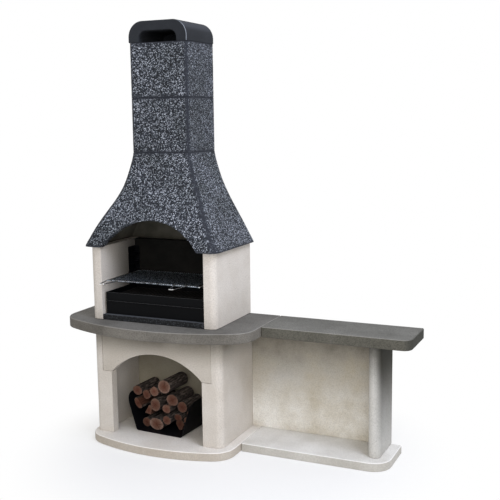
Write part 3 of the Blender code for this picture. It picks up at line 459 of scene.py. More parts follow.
# The niche's rear wall: colours darkened as painted shade, and painted shade fading down from the piers'
# tops
niche_shade_under_top = ("#7C7360", pier_top, pier_top - NICHE_SHADE_REACH)
shaded_beige = cast_concrete("shaded_beige_concrete", "#A49B87", "#BFB8A6", shade_under_top=niche_shade_under_top)
finished_copy("lower_back_wall", "masonry", shaded_beige, BLOCK_ARRIS, CAST_WANDER)

# Worktops. Slabs of grey concrete cast face down on a smooth sheet, so the tops are dense and even and the
# edges are sandier. The main one carries the fire chamber, and the side one runs on to the end wall.
WORKTOP_SIDE_SHADE_ABOVE = 0.42
WORKTOP_SIDE_SHADE_BELOW = 0.70
# The arris colours of both worktops are painted highlights along their upper arrises
top_grey = cast_concrete(
    "grey_worktop_concrete",
    "#64625E",
    "#7F7D79",
    sand=0.80,
    edge="#FDF9F2",
    arris="#A8A49E",
)
# The side worktop's end face, turned to +X, gets painted shade
rough_grey = cast_concrete(
    "rough_edged_worktop_concrete",
    "#666560",
    "#7F7E79",
    sand=0.76,
    edge="#CAC7BC",
    arris="#A09D97",
    side_shade=("#2A2B26", pier_top + WORKTOP_SIDE_SHADE_ABOVE, pier_top - WORKTOP_SIDE_SHADE_BELOW),
)
finished_copy("worktop", "masonry", top_grey, SLAB_ARRIS, CAST_WANDER)
finished_copy("side_worktop", "masonry", rough_grey, SLAB_ARRIS, CAST_WANDER)

# Side bay. A thin beige panel closes it at the rear, and a pale wall with a full round front edge carries
# the end of the side worktop. Both stand on the side base slab.
PANEL_SHADE_REACH = 0.52
END_SHADE_REACH = 0.25
END_SIDE_SHADE_ABOVE = 0.04
END_SIDE_SHADE_BELOW = 0.76
# Painted shade under the side worktop, fading down over most of the panel
panel_shade_under_top = ("#645B48", pier_top, pier_top - PANEL_SHADE_REACH)
beige = cast_concrete("beige_cast_concrete", "#D2C9B6", "#FCFAF4", shade_under_top=panel_shade_under_top)
finished_copy("side_back_panel", "masonry", beige, BLOCK_ARRIS, CAST_WANDER)
# Painted shade under the side worktop, and a deeper painted shade on the outer face that turns to +X, fading
# down from the top
end_pale = cast_concrete(
    "end_wall_concrete",
    "#C6C3BC",
    "#D8D6D0",
    shade_under_top=("#403E35", pier_top, pier_top - END_SHADE_REACH),
    side_shade=("#2F2E27", pier_top + END_SIDE_SHADE_ABOVE, pier_top - END_SIDE_SHADE_BELOW),
)
finished_copy("side_end_wall", "masonry", end_pale, BLOCK_ARRIS, CAST_WANDER)

# Fire chamber. Two cream walls, a rear wall and a dark refractory fireback stand round a hearth slab of dark
# chip concrete. The cream walls darken inside towards the rear, as soot and painted shade, and fire has
# blackened the fireback.
SKIN = 0.004
SOOT_AND_SHADE_FROM_FRONT = 0.006
SOOT_AND_SHADE_TO_REAR = 0.020
SOOT_PATCHES_PER_METRE = 7
CRUMBS_PER_METRE = 160
CRUMB_RELIEF = 0.002
hearth_low, hearth_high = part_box("hearth_slab")
hearth_middle = (hearth_low.x + hearth_high.x) / 2
inner_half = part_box("chamber_right_wall")[0].x - hearth_middle + SKIN
chamber_cream = cast_concrete(
    "chamber_concrete",
    "#D2CAC0",
    "#E0DAD2",
    soot_and_shade=(hearth_middle, inner_half, hearth_low.y + SOOT_AND_SHADE_FROM_FRONT, hearth_high.y - SOOT_AND_SHADE_TO_REAR),
)
for node in ("chamber_left_wall", "chamber_right_wall", "chamber_rear_wall"):
    finished_copy(node, "masonry", chamber_cream, BLOCK_ARRIS, CAST_WANDER)


def sooted_refractory(name):
    """Refractory concrete under a coat of soot: matt black, browner where it is thin, with fine crumbs."""
    material, tree, shader = new_material(name, 0.95, specular=0.1)
    place = add(tree, "ShaderNodeTexCoord").outputs["Object"]
    coat = add(
        tree,
        "ShaderNodeTexNoise",
        {"Scale": SOOT_PATCHES_PER_METRE, "Detail": 7.0, "Roughness": 0.7},
        {"Vector": place},
    )
    tone = add(
        tree,
        "ShaderNodeValToRGB",
        {"stops": ((0.35, "#141413"), (0.60, "#1F1E1C"), (0.80, "#2C2A26"))},
        {"Fac": coat.outputs["Fac"]},
    )
    crumbs = add(tree, "ShaderNodeTexNoise", {"Scale": CRUMBS_PER_METRE, "Detail": 4.0}, {"Vector": place})
    relief = add(
        tree,
        "ShaderNodeBump",
        {"Strength": 0.6, "Distance": CRUMB_RELIEF},
        {"Height": crumbs.outputs["Fac"]},
    )
    tree.links.new(tone.outputs["Color"], shader.inputs["Base Color"])
    tree.links.new(relief.outputs["Normal"], shader.inputs["Normal"])
    return material


soot_black = sooted_refractory("sooted_refractory")
finished_copy("fireback", "masonry", soot_black, BLOCK_ARRIS, CAST_WANDER)

HEARTH_CHIP = 0.004
CHIP_RELIEF = 0.0015
TINT_SIZE = 0.200


def chip_concrete(name, plain, dark, middle, grey, pale, chip_size):
    """Concrete with granite chips washed bare: four tones of grain, from dark to pale, in a plain paste.

    The attribute chips is 1 where the chips show and 0 where the mould left plain paste.
    """
    material, tree, shader = new_material(name, 0.78, specular=0.3)
    place = add(tree, "ShaderNodeTexCoord").outputs["Object"]
    cells = add(tree, "ShaderNodeTexVoronoi", {"Scale": 1 / chip_size, "Randomness": 1.0}, {"Vector": place})
    pick = add(tree, "ShaderNodeSeparateColor", None, {"Color": cells.outputs["Color"]})
    grains = add(
        tree,
        "ShaderNodeValToRGB",
        {"stops": ((0.05, dark), (0.40, middle), (0.74, grey), (0.98, pale))},
        {"Fac": pick.outputs["Red"]},
    )
    clouds = add(tree, "ShaderNodeTexNoise", {"Scale": 1 / TINT_SIZE, "Detail": 3.0}, {"Vector": place})
    tint = add(
        tree,
        "ShaderNodeValToRGB",
        {"stops": ((0.38, "#D6D8D6"), (0.62, PLAIN_WHITE))},
        {"Fac": clouds.outputs["Fac"]},
    )
    tinted = add(
        tree,
        "ShaderNodeMixRGB",
        {"blend_type": "MULTIPLY", "Fac": 1.0},
        {"Color1": grains.outputs["Color"], "Color2": tint.outputs["Color"]},
    )
    cover = add(tree, "ShaderNodeAttribute", {"attribute_name": "chips"})
    colour = add(
        tree,
        "ShaderNodeMixRGB",
        {"Color1": linear(plain)},
        {"Fac": cover.outputs["Fac"], "Color2": tinted.outputs["Color"]},
    )
    stand = add(
        tree,
        "ShaderNodeMath",
        {"operation": "MULTIPLY"},
        {0: pick.outputs["Green"], 1: cover.outputs["Fac"]},
    )
    relief = add(
        tree,
        "ShaderNodeBump",
        {"Strength": 0.5, "Distance": CHIP_RELIEF},
        {"Height": stand.outputs["Value"]},
    )
    tree.links.new(colour.outputs["Color"], shader.inputs["Base Color"])
    tree.links.new(relief.outputs["Normal"], shader.inputs["Normal"])
    return material


def show_chips(mesh, cover):
    """Stores how much of the chips shows at each vertex."""
    values = mesh.attributes.new("chips", "FLOAT", "POINT")
    for i, vert in enumerate(mesh.vertices):
        values.data[i].value = cover(vert.co)


hearth_chips = chip_concrete(
    "hearth_chip_concrete", "#4A4D52", "#08090A", "#101113", "#1A1C1F", "#4C4F55", HEARTH_CHIP
)
hearth = finished_copy(
    "hearth_slab", "masonry", hearth_chips, BLOCK_ARRIS, CAST_WANDER
)
# Plain paste, paler than the chips, on the top face and its rounded arris: the band along the front's top
# edge is a painted highlight
show_chips(hearth.data, lambda point: 1.0 if point.z < hearth_high.z - BLOCK_ARRIS else 0.0)

# Hood. One thin-walled casting of dark granite chip concrete that flares from the chimney's section down
# over the chamber walls, with an arch cut out of its front. Its inside is smooth and olive-grey, dark as
# painted shade.
CHIP_SIZE = 0.0039
CHIP_RISE = 0.0011
CHIPS_PER_METRE = 150
HOOD_ARRIS = 0.003
WALL = 0.045
RIM_WALL = 0.050
TOP_RADIUS = 0.020
RIM_RADIUS = 0.045
REAR_RADIUS = 0.012
INNER_RADIUS = 0.015
INNER_RIM_RADIUS = 0.020
PLAIN_BAND = 0.010
PLAIN_LOSS_SHARE = 0.20
LEAST_COVER_SHARE = 0.05
RAGGED_SHARE = 0.35
RAGGED_PER_METRE = 60
LINING_DEPTH_SHARE = 0.6
LINING_PATCHES_PER_METRE = 6
CORNER_CELLS = 8
HOOD_LEVELS = 76
INNER_LEVELS = 16
# Points on the straights between the corners: front, right, rear and left
HOOD_RUNS = (96, 58, 60, 58)
ARCH_RISE = 0.144
ARCH_INSET = 0.022
CUTTER_SIDES = 160
# Share of the way down, then the shares of the side flare and of the front flare reached there
FLARE_SHARES = (
    (0.0, 0.000, 0.000),
    (0.1, 0.045, 0.030),
    (0.2, 0.110, 0.070),
    (0.3, 0.185, 0.120),
    (0.4, 0.280, 0.190),
    (0.5, 0.392, 0.320),
    (0.6, 0.515, 0.500),
    (0.7, 0.642, 0.680),
    (0.8, 0.768, 0.820),
    (0.9, 0.888, 0.920),
    (1.0, 1.000, 1.000),
)

hood_low, hood_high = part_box("hood")
block_low, block_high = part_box("chimney_lower_block")
hood_middle = (hood_low.x + hood_high.x) / 2
rear_face = hood_high.y
block_half = (block_high.x - block_low.x) / 2
block_depth = rear_face - block_low.y
rim_half = (hood_high.x - hood_low.x) / 2
rim_depth = rear_face - hood_low.y


def blend_values(first, second, share):
    """Values that lie a share of the way from the first to the second."""
    return [a + (b - a) * share for a, b in zip(first, second)]


def flare(down):
    """Shares of the side flare and the front flare, smooth through the table's rows."""
    steps = len(FLARE_SHARES) - 1
    i = min(int(down * steps), steps - 1)
    t = down * steps - i
    rows = [FLARE_SHARES[min(max(i + k, 0), steps)] for k in (-1, 0, 1, 2)]
    shares = []
    for column in (1, 2):
        a, b, c, d = (row[column] for row in rows)
        shares.append(b + t * (c - a + t * (2 * a - 5 * b + 4 * c - d + t * (3 * (b - c) + d - a))) / 2)
    return shares


def hood_section(down, wall_share):
    """Half width, front depth, rear inset, front radius and rear radius, from outer to inner skin."""
    side, front = flare(down)
    outer = (
        block_half + side * (rim_half - block_half),
        block_depth + front * (rim_depth - block_depth),
        0,
        TOP_RADIUS + side * (RIM_RADIUS - TOP_RADIUS),
        REAR_RADIUS,
    )
    inner = (
        outer[0] - WALL - side * (RIM_WALL - WALL),
        outer[1] - WALL - front * (RIM_WALL - WALL),
        WALL,
        INNER_RADIUS + side * (INNER_RIM_RADIUS - INNER_RADIUS),
        INNER_RADIUS,
    )
    return blend_values(outer, inner, wall_share)


def block_section(down, wall_share):
    """The same five sizes for a straight length of chimney."""
    return hood_section(0, wall_share)


def plan_ring(section, runs):
    """Points of one level: four rounded corners with a run of points on the straight after each."""
    half, front, rear, front_radius, rear_radius = section
    corners = (
        (-half + front_radius, front_radius - front, front_radius, 180),
        (half - front_radius, front_radius - front, front_radius, 270),
        (half - rear_radius, -rear - rear_radius, rear_radius, 0),
        (rear_radius - half, -rear - rear_radius, rear_radius, 90),
    )

    def at(corner, share):
        x, y, radius, start = corner
        angle = math.radians(start + 90 * share)
        return (x + radius * math.cos(angle), y + radius * math.sin(angle))

    points = []
    for corner, following, run in zip(corners, corners[1:] + corners[:1], runs):
        points += [at(corner, i / CORNER_CELLS) for i in range(CORNER_CELLS)]
        points += [blend_values(at(corner, 1), at(following, 0), i / run) for i in range(run)]
    return points


def wall_profile(low, high, levels, inner_levels):
    """Heights and wall shares on a walk up the outer skin, over the top, down the inner skin and back."""
    turn = [math.radians(90 * i / ARRIS_STEPS) for i in range(ARRIS_STEPS + 1)]
    rounding = [(HOOD_ARRIS * (1 - math.cos(a)), HOOD_ARRIS * (1 - math.sin(a)) / WALL) for a in turn]
    rise = high - low - 2 * HOOD_ARRIS
    outer = [(low + z, share) for z, share in rounding]
    outer += [(low + HOOD_ARRIS + rise * i / levels, 0) for i in range(1, levels)]
    outer += [(high - z, share) for z, share in reversed(rounding)]
    inner = [(high - z, 1 - share) for z, share in rounding]
    inner += [(high - HOOD_ARRIS - rise * i / inner_levels, 1) for i in range(1, inner_levels)]
    inner += [(low + z, 1 - share) for z, share in reversed(rounding)]
    return outer + inner


def hollow_casting(name, node, section_at, runs, levels):
    """A grid rolled up into a hollow wall, whose outer skin is roughened by the chips."""
    low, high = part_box(node)
    profile = wall_profile(low.z, high.z, levels, INNER_LEVELS)
    rings = []
    for z, share in profile:
        section = section_at((high.z - z) / (high.z - low.z), share)
        rings.append([Vector((hood_middle + x, rear_face + y, z)) for x, y in plan_ring(section, runs)])
    around, along = len(rings[0]), len(rings)
    bm = bmesh.new()
    bmesh.ops.create_grid(bm, x_segments=around, y_segments=along, size=0.5)
    for vert in bm.verts:
        i, j = round((vert.co.x + 0.5) * around), round((vert.co.y + 0.5) * along)
        vert.co = rings[j % along][i % around]
    bmesh.ops.remove_doubles(bm, verts=bm.verts, dist=WELD)
    bmesh.ops.recalc_face_normals(bm, faces=bm.faces)
    bm.normal_update()
    wall = WALL / 2
    moves = []
    for vert in bm.verts:
        half, front = section_at((high.z - vert.co.z) / (high.z - low.z), 0)[:2]
        outside = half - abs(vert.co.x - hood_middle) < wall or vert.co.y < rear_face - front + wall
        if outside and low.z + HOOD_ARRIS < vert.co.z < high.z - HOOD_ARRIS:
            rise_share = (1 + noise.noise(vert.co * CHIPS_PER_METRE)) / 2
            moves.append((vert, vert.normal * CHIP_RISE * rise_share))
    for vert, move in moves:
        vert.co -= move
    mesh = bpy.data.meshes.new(name)
    bm.to_mesh(mesh)
    bm.free()
    return mesh


def chip_cover(section_at, low, high, joint_band):
    """How much of the chips shows: less along the front corners and next to the joints."""

    def cover(point):
        half, front, _, radius, _ = section_at((high.z - point.z) / (high.z - low.z), 0)
        x = half - abs(point.x - hood_middle)
        y = point.y - rear_face + front
        inset = radius * (1 - math.sqrt(0.5))
        corner = math.hypot(x - inset, y - inset) / (PLAIN_BAND + radius / 4)
        joint = min(point.z - low.z, high.z - point.z) / joint_band
        ragged = RAGGED_SHARE * noise.noise(point * RAGGED_PER_METRE)
        return min(1.0, max(LEAST_COVER_SHARE, min(corner, joint) - PLAIN_LOSS_SHARE + ragged))

    return cover


# Black, slate-blue and grey grains with a few near-white ones, in a blue-black paste
granite = chip_concrete(
    "granite_chip_concrete", "#24272F", "#0C0E12", "#20232A", "#3E434C", "#BCC2CE", CHIP_SIZE
)


def shaded_lining(name):
    """The smooth inside of the hood and the chimney: plain concrete in a patchy dark olive-grey that is
    painted shade.
    """
    material, tree, shader = new_material(name, 0.9, specular=0.1)
    place = add(tree, "ShaderNodeTexCoord").outputs["Object"]
    film = add(
        tree,
        "ShaderNodeTexNoise",
        {"Scale": LINING_PATCHES_PER_METRE, "Detail": 5.0},
        {"Vector": place},
    )
    tone = add(
        tree,
        "ShaderNodeValToRGB",
        {"stops": ((0.35, "#4E4C44"), (0.65, "#6E6B61"))},
        {"Fac": film.outputs["Fac"]},
    )
    tree.links.new(tone.outputs["Color"], shader.inputs["Base Color"])
    return material


# Painted shade: the inside of the hood and the chimney in a dark olive-grey
lining = shaded_lining("shaded_concrete_lining")


def line_inside(mesh, section_at, low, high):
    """Gives the faces of the inner skin the dark lining, whose colour is painted shade."""
    mesh.materials.append(granite)
    mesh.materials.append(lining)
    for face in mesh.polygons:
        half, front = section_at((high.z - face.center.z) / (high.z - low.z), 0)[:2]
        depths = (
            half - abs(face.center.x - hood_middle),
            face.center.y - rear_face + front,
            rear_face - face.center.y,
        )
        face.material_index = int(min(depths) > WALL * LINING_DEPTH_SHARE)


hood_mesh = hollow_casting("hood_finished", "hood", hood_section, HOOD_RUNS, HOOD_LEVELS)
hood = bpy.data.objects.new("hood_finished", hood_mesh)
arch_half = inner_half - ARCH_INSET
arch_radius = (arch_half**2 + ARCH_RISE**2) / (2 * ARCH_RISE)
arch_depth = rim_depth - WALL
arch_centre = (
    hood_middle,
    rear_face - (rim_depth + block_depth) / 2 - WALL / 4,
    hood_low.z + ARCH_RISE - arch_radius,
)
cutter = bpy.data.meshes.new("arch_cutter")
bm = bmesh.new()
bmesh.ops.create_cone(
    bm,
    cap_ends=True,
    segments=CUTTER_SIDES,
    radius1=arch_radius,
    radius2=arch_radius,
    depth=arch_depth - block_depth + 3 * WALL,
    matrix=Matrix.Translation(arch_centre) @ Matrix.Rotation(math.radians(90), 4, "X"),
)
bm.to_mesh(cutter)
bm.free()


def cut_out(piece, tool_mesh):
    """Cuts a tool's shape out of a piece, and gives the piece the cut mesh."""
    tool = bpy.data.objects.new("tool", tool_mesh)
    for item in (piece, tool):
        bpy.context.scene.collection.objects.link(item)
    cut = piece.modifiers.new("Cut", "BOOLEAN")
    cut.solver = "EXACT"
    cut.object = tool
    bpy.context.view_layer.update()
    shaped = piece.evaluated_get(bpy.context.evaluated_depsgraph_get())
    mesh = bpy.data.meshes.new_from_object(shaped)
    piece.modifiers.clear()
    piece.data = mesh
    bpy.context.scene.collection.objects.unlink(piece)
    bpy.data.objects.remove(tool)
    return mesh


hood_mesh = cut_out(hood, cutter)
smooth(hood_mesh)
line_inside(hood_mesh, hood_section, hood_low, hood_high)
show_chips(hood_mesh, chip_cover(hood_section, hood_low, hood_high, PLAIN_BAND))
settle(hood, "masonry", ["hood"])

# Chimney. Two equal rectangular blocks of the same chip concrete, glued on each other over the hood. The
# mould left plain paste along their corners and next to each joint.
BLOCK_LEVELS = 46
BLOCK_RUNS = (52, 44, 30, 44)
for node in ("chimney_lower_block", "chimney_upper_block"):
    mesh = hollow_casting(f"{node}_finished", node, block_section, BLOCK_RUNS, BLOCK_LEVELS)
    mesh.shade_smooth()
    low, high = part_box(node)
    line_inside(mesh, block_section, low, high)
    show_chips(mesh, chip_cover(block_section, low, high, PLAIN_BAND))
    settle(bpy.data.objects.new(f"{node}_finished", mesh), "masonry", [node])

# Chimney cap. A smooth slate-grey casting with a rounded top, hollowed from below and from the front so that
# the smoke leaves there. It is glued on the last block, and its front right corner and upper arrises have
# painted highlights.
CAP_RADIUS = 0.080
CAP_SIDE = 0.059
CAP_TOP = 0.049
CAP_REAR = 0.050
OUTLET_RADIUS = 0.040
CAP_ARRIS = 0.004
ROUND_STEPS = 20
cap_low, cap_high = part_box("chimney_cap")


def round_topped(name, low, high, radius):
    """A block whose two long upper edges are rounded over."""
    low, high = Vector(low), Vector(high)
    bm = bmesh.new()
    place = Matrix.Translation((low + high) / 2) @ Matrix.Diagonal((*(high - low), 1))
    bmesh.ops.create_cube(bm, size=1, matrix=place)
    top = [
        e
        for e in bm.edges
        if all(v.co.z > high.z - WELD for v in e.verts) and abs(e.verts[0].co.x - e.verts[1].co.x) < WELD
    ]
    bmesh.ops.bevel(
        bm, geom=top, affect="EDGES", offset=radius, segments=ROUND_STEPS, profile=0.5, material=-1
    )
    mesh = bpy.data.meshes.new(name)
    bm.to_mesh(mesh)
    bm.free()
    return mesh


cap_block = round_topped("chimney_cap", cap_low, cap_high, CAP_RADIUS)
cap = bpy.data.objects.new("chimney_cap_finished", cap_block)
outlet = round_topped(
    "outlet",
    (cap_low.x + CAP_SIDE, cap_low.y - WALL, cap_low.z - WALL),
    (cap_high.x - CAP_SIDE, cap_high.y - CAP_REAR, cap_high.z - CAP_TOP),
    OUTLET_RADIUS,
)
cap_mesh = cut_out(cap, outlet)
bm = bmesh.new()
bm.from_mesh(cap_mesh)
round_arrises(bm, CAP_ARRIS, clamp=False)
bm.to_mesh(cap_mesh)
bm.free()
cap_mesh.materials.clear()
# Painted highlights: pale grey on the front right corner and a lighter slate on the upper arrises
cap_corner_highlight = ("#868C94", cap_high.x - CAP_SIDE)
slate = cast_concrete("slate_grey_concrete", "#202328", "#2B2E33", arris="#4E525A", corner=cap_corner_highlight)
smooth(cap_mesh, slate)
cap.modifiers.new("Weighted", "WEIGHTED_NORMAL").keep_sharp = True
settle(cap, "masonry", ["chimney_cap"])

# Fire box and ash drawer. The box is 3 mm sheet steel, folded and welded, with a tray space on top and a bay
# below. The drawer's front covers the bay and ends in a lip to pull by. Both have black stove paint, with a
# painted highlight on their upper folds and bevels.
SHEET_ARRIS = 0.0011
ASH_PATCHES_PER_METRE = 18
PEEL_BUMPS_PER_METRE = 420
PEEL_RELIEF = 0.0006


def stove_paint(name, colour, roughness, ash, fold_highlight):
    """Heat-resistant paint on sheet steel: low gloss and slightly orange-peeled.

    Ash is the share of ash that lies on faces turned up, and the last argument is a grey for the painted
    highlight on the upper folds and bevels.
    """
    material, tree, shader = new_material(name, roughness, specular=0.10)
    coordinates = add(tree, "ShaderNodeTexCoord")
    place = coordinates.outputs["Object"]
    dust = add(
        tree,
        "ShaderNodeTexNoise",
        {"Scale": ASH_PATCHES_PER_METRE, "Detail": 6.0, "Roughness": 0.7},
        {"Vector": place},
    )
    facing = add(tree, "ShaderNodeSeparateXYZ", None, {"Vector": coordinates.outputs["Normal"]})
    film = add(
        tree,
        "ShaderNodeMath",
        {"operation": "MULTIPLY", "use_clamp": True},
        {0: facing.outputs["Z"], 1: dust.outputs["Fac"]},
    )
    faint = add(tree, "ShaderNodeMath", {"operation": "MULTIPLY", 1: ash}, {0: film.outputs["Value"]})
    tone = add(
        tree,
        "ShaderNodeMixRGB",
        {"Color1": linear(colour), "Color2": linear("#8A8680")},
        {"Fac": faint.outputs["Value"]},
    )
    # Painted highlight: faces tilted between flat and upright, the bevelled folds, turn light grey
    fold_highlight_mask = add(
        tree,
        "ShaderNodeValToRGB",
        {"stops": ((0.30, "#000000"), (0.50, fold_highlight), (0.80, fold_highlight), (0.97, "#000000"))},
        {"Fac": facing.outputs["Z"]},
    )
    tone = add(
        tree,
        "ShaderNodeMixRGB",
        {"Color2": linear("#A8A9AC")},
        {"Fac": fold_highlight_mask.outputs["Color"], "Color1": tone.outputs["Color"]},
    )
    peel = add(tree, "ShaderNodeTexNoise", {"Scale": PEEL_BUMPS_PER_METRE, "Detail": 2.0}, {"Vector": place})
    relief = add(
        tree,
        "ShaderNodeBump",
        {"Strength": 0.12, "Distance": PEEL_RELIEF},
        {"Height": peel.outputs["Fac"]},
    )
    tree.links.new(tone.outputs["Color"], shader.inputs["Base Color"])
    tree.links.new(relief.outputs["Normal"], shader.inputs["Normal"])
    return material


black_paint = stove_paint("black_stove_paint", "#050608", 0.60, 0.05, "#808080")
finished_copy("fire_box_casing", "masonry", black_paint, SHEET_ARRIS)
finished_copy("ash_drawer", "ash_drawer", black_paint, SHEET_ARRIS)

# Charcoal grate. A slotted plate of grey cast iron, sand cast, that lies loose on the box's ledge. Heat
# and ash have turned its skin matt black with a little rust in the hollows.
GRATE_ARRIS = 0.0016
RUST_PATCHES_PER_METRE = 24
CASTING_GRAINS_PER_METRE = 300
CASTING_RELIEF = 0.001


def burnt_iron(name):
    """Cast iron out of a sand mould: dark, grainy and matt, with rust where ash has held damp."""
    material, tree, shader = new_material(name, 0.75, metallic=0.3, specular=0.3)
    place = add(tree, "ShaderNodeTexCoord").outputs["Object"]
    rust = add(
        tree,
        "ShaderNodeTexNoise",
        {"Scale": RUST_PATCHES_PER_METRE, "Detail": 7.0, "Roughness": 0.7},
        {"Vector": place},
    )
    tone = add(
        tree,
        "ShaderNodeValToRGB",
        {"stops": ((0.45, "#161616"), (0.62, "#1F1B19"), (0.80, "#3A2A20"))},
        {"Fac": rust.outputs["Fac"]},
    )
    skin = add(
        tree,
        "ShaderNodeTexNoise",
        {"Scale": CASTING_GRAINS_PER_METRE, "Detail": 3.0},
        {"Vector": place},
    )
    relief = add(
        tree,
        "ShaderNodeBump",
        {"Strength": 0.4, "Distance": CASTING_RELIEF},
        {"Height": skin.outputs["Fac"]},
    )
    tree.links.new(tone.outputs["Color"], shader.inputs["Base Color"])
    tree.links.new(relief.outputs["Normal"], shader.inputs["Normal"])
    return material


iron = burnt_iron("burnt_cast_iron")
finished_copy("charcoal_grate", "charcoal_grate", iron, GRATE_ARRIS)

# Grid supports. A folded steel angle in each rear corner of the chamber has a pair of tabs at three heights
# that grip the grid's side rods. Two round-headed bolts hold each angle to the fireback.
BOLT_STEPS = 32
DOME_STEPS = 8
SHANK_SHARE = 1 / 2
HEAD_SHARE = 2 / 3
bracket_paint = stove_paint("unworn_stove_paint", "#05060A", 0.60, 0.0, "#000000")
for side in ("left", "right"):
    finished_copy(f"{side}_grid_bracket", "masonry", bracket_paint, SHEET_ARRIS)
    for level in ("lower", "upper"):
        node = f"{side}_{level}_bracket_bolt"
        low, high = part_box(node)
        radius = (high.x - low.x) / 2
        shank = radius * SHANK_SHARE
        head = radius * HEAD_SHARE
        bm = bmesh.new()
        angles = [math.radians(90 * i / DOME_STEPS) for i in range(DOME_STEPS + 1)]
        profile = [(radius * math.sin(a), head * math.cos(a)) for a in angles]
        profile += [(shank, 0), (shank, low.y + head - high.y), (0, low.y + head - high.y)]
        verts = [bm.verts.new((x, 0, z)) for x, z in profile]
        for pair in zip(verts, verts[1:]):
            bm.edges.new(pair)
        bmesh.ops.spin(
            bm,
            geom=bm.verts[:] + bm.edges[:],
            cent=(0, 0, 0),
            axis=(0, 0, 1),
            angle=math.radians(360),
            steps=BOLT_STEPS,
            use_merge=True,
        )
        bmesh.ops.remove_doubles(bm, verts=bm.verts, dist=WELD)
        bmesh.ops.recalc_face_normals(bm, faces=bm.faces)
        seat = Vector(((low.x + high.x) / 2, low.y + head, (low.z + high.z) / 2))
        bmesh.ops.transform(
            bm, matrix=Matrix.Translation(seat) @ Matrix.Rotation(math.radians(90), 4, "X"), verts=bm.verts
        )
        mesh = bpy.data.meshes.new(f"{node}_finished")
        bm.to_mesh(mesh)
        bm.free()
        smooth(mesh, bracket_paint)
        settle(bpy.data.objects.new(f"{node}_finished", mesh), "masonry", [node])

# Cooking grid. Chromed steel: a frame of 6 mm rods with 3.4 mm wires welded across it from front to rear,
# each wire's ends brought down over the end rods. Two bent wire loops welded to it are the handles. All but
# the side rods, the wires' ends and the handles is a duller chrome, and the wires' bright ends are painted
# highlights along the end rods.
ROD = 0.003
WIRE = 0.0017
WIRE_SINK = 0.0008
WIRE_PITCH = 0.0122
WIRE_EDGE = 0.016
WIRE_HIGHLIGHT_END = 0.008
HOOK_STEP = math.radians(16)
HOOK_POINTS = 5
HOOK_REACH_SHARE = 0.9
FAT_SPOTS_PER_METRE = 70
HANDLE_ROD = 0.0025
HANDLE_TIP = 0.028
HANDLE_BEND = 0.009
HANDLE_FOOT = 0.008
ROD_ROUND = 4
BEND_STEPS = 10
grid_low, grid_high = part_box("cooking_grid")
rod_level = grid_low.z + ROD
rod_left, rod_right = grid_low.x + ROD, grid_high.x - ROD
rod_front, rod_rear = grid_low.y + ROD, grid_high.y - ROD


def fired_chrome(name, bright, burnt, roughness, metallic):
    """Chromed wire used over fire: a bright mirror under spots of burnt fat."""
    material, tree, shader = new_material(name, roughness, metallic)
    place = add(tree, "ShaderNodeTexCoord").outputs["Object"]
    fat = add(tree, "ShaderNodeTexNoise", {"Scale": FAT_SPOTS_PER_METRE, "Detail": 4.0}, {"Vector": place})
    tone = add(
        tree,
        "ShaderNodeValToRGB",
        {"stops": ((0.42, bright), (0.58, burnt))},
        {"Fac": fat.outputs["Fac"]},
    )
    tree.links.new(tone.outputs["Color"], shader.inputs["Base Color"])
    return material


chrome = fired_chrome("bright_chromed_wire", "#E2E4E6", "#B4B2AE", 0.30, 1.0)
dull_chrome = fired_chrome("dull_chromed_wire", "#8A939C", "#262B31", 0.34, 0.7)


def wire_mesh(name, routes, radius):
    """Round wires along routes of points, with closed ends, as one mesh."""
    curve = bpy.data.curves.new(name, "CURVE")
    curve.dimensions = "3D"
    curve.bevel_depth = radius
    curve.bevel_resolution = ROD_ROUND
    curve.use_fill_caps = True
    for route in routes:
        spline = curve.splines.new("POLY")
        spline.points.add(len(route) - 1)
        for point, place in zip(spline.points, route):
            point.co = (*place, 1)
    holder = bpy.data.objects.new(name, curve)
    bpy.context.scene.collection.objects.link(holder)
    bpy.context.view_layer.update()
    shaped = holder.evaluated_get(bpy.context.evaluated_depsgraph_get())
    mesh = bpy.data.meshes.new_from_object(shaped)
    bpy.data.objects.remove(holder)
    return mesh


def wire_piece(name, meshes, body, nodes):
    """Joins wire meshes into one piece of bright chrome, with the lengths over the fire in a duller chrome.

    The first mesh holds the rods, dull up to their own ends, and the wires keep bright ends, which are
    painted highlights.
    """
    bm = bmesh.new()
    highlight_end = -ROD
    for mesh in meshes:
        before = len(bm.faces)
        bm.from_mesh(mesh)
        bm.faces.ensure_lookup_table()
        for face in bm.faces[before:]:
            centre = face.calc_center_median()
            # Bright ends: painted highlights where the wires hook over the end rods
            over_fire = rod_front + highlight_end < centre.y < rod_rear - highlight_end
            between_sides = rod_left + 2 * ROD < centre.x < rod_right - 2 * ROD
            face.material_index = int(over_fire and between_sides)
        highlight_end = WIRE_HIGHLIGHT_END
    bmesh.ops.remove_doubles(bm, verts=bm.verts, dist=WELD)
    bmesh.ops.recalc_face_normals(bm, faces=bm.faces)
    joined = bpy.data.meshes.new(name)
    bm.to_mesh(joined)
    bm.free()
    smooth(joined, chrome, dull_chrome)
    settle(bpy.data.objects.new(name, joined), body, nodes)


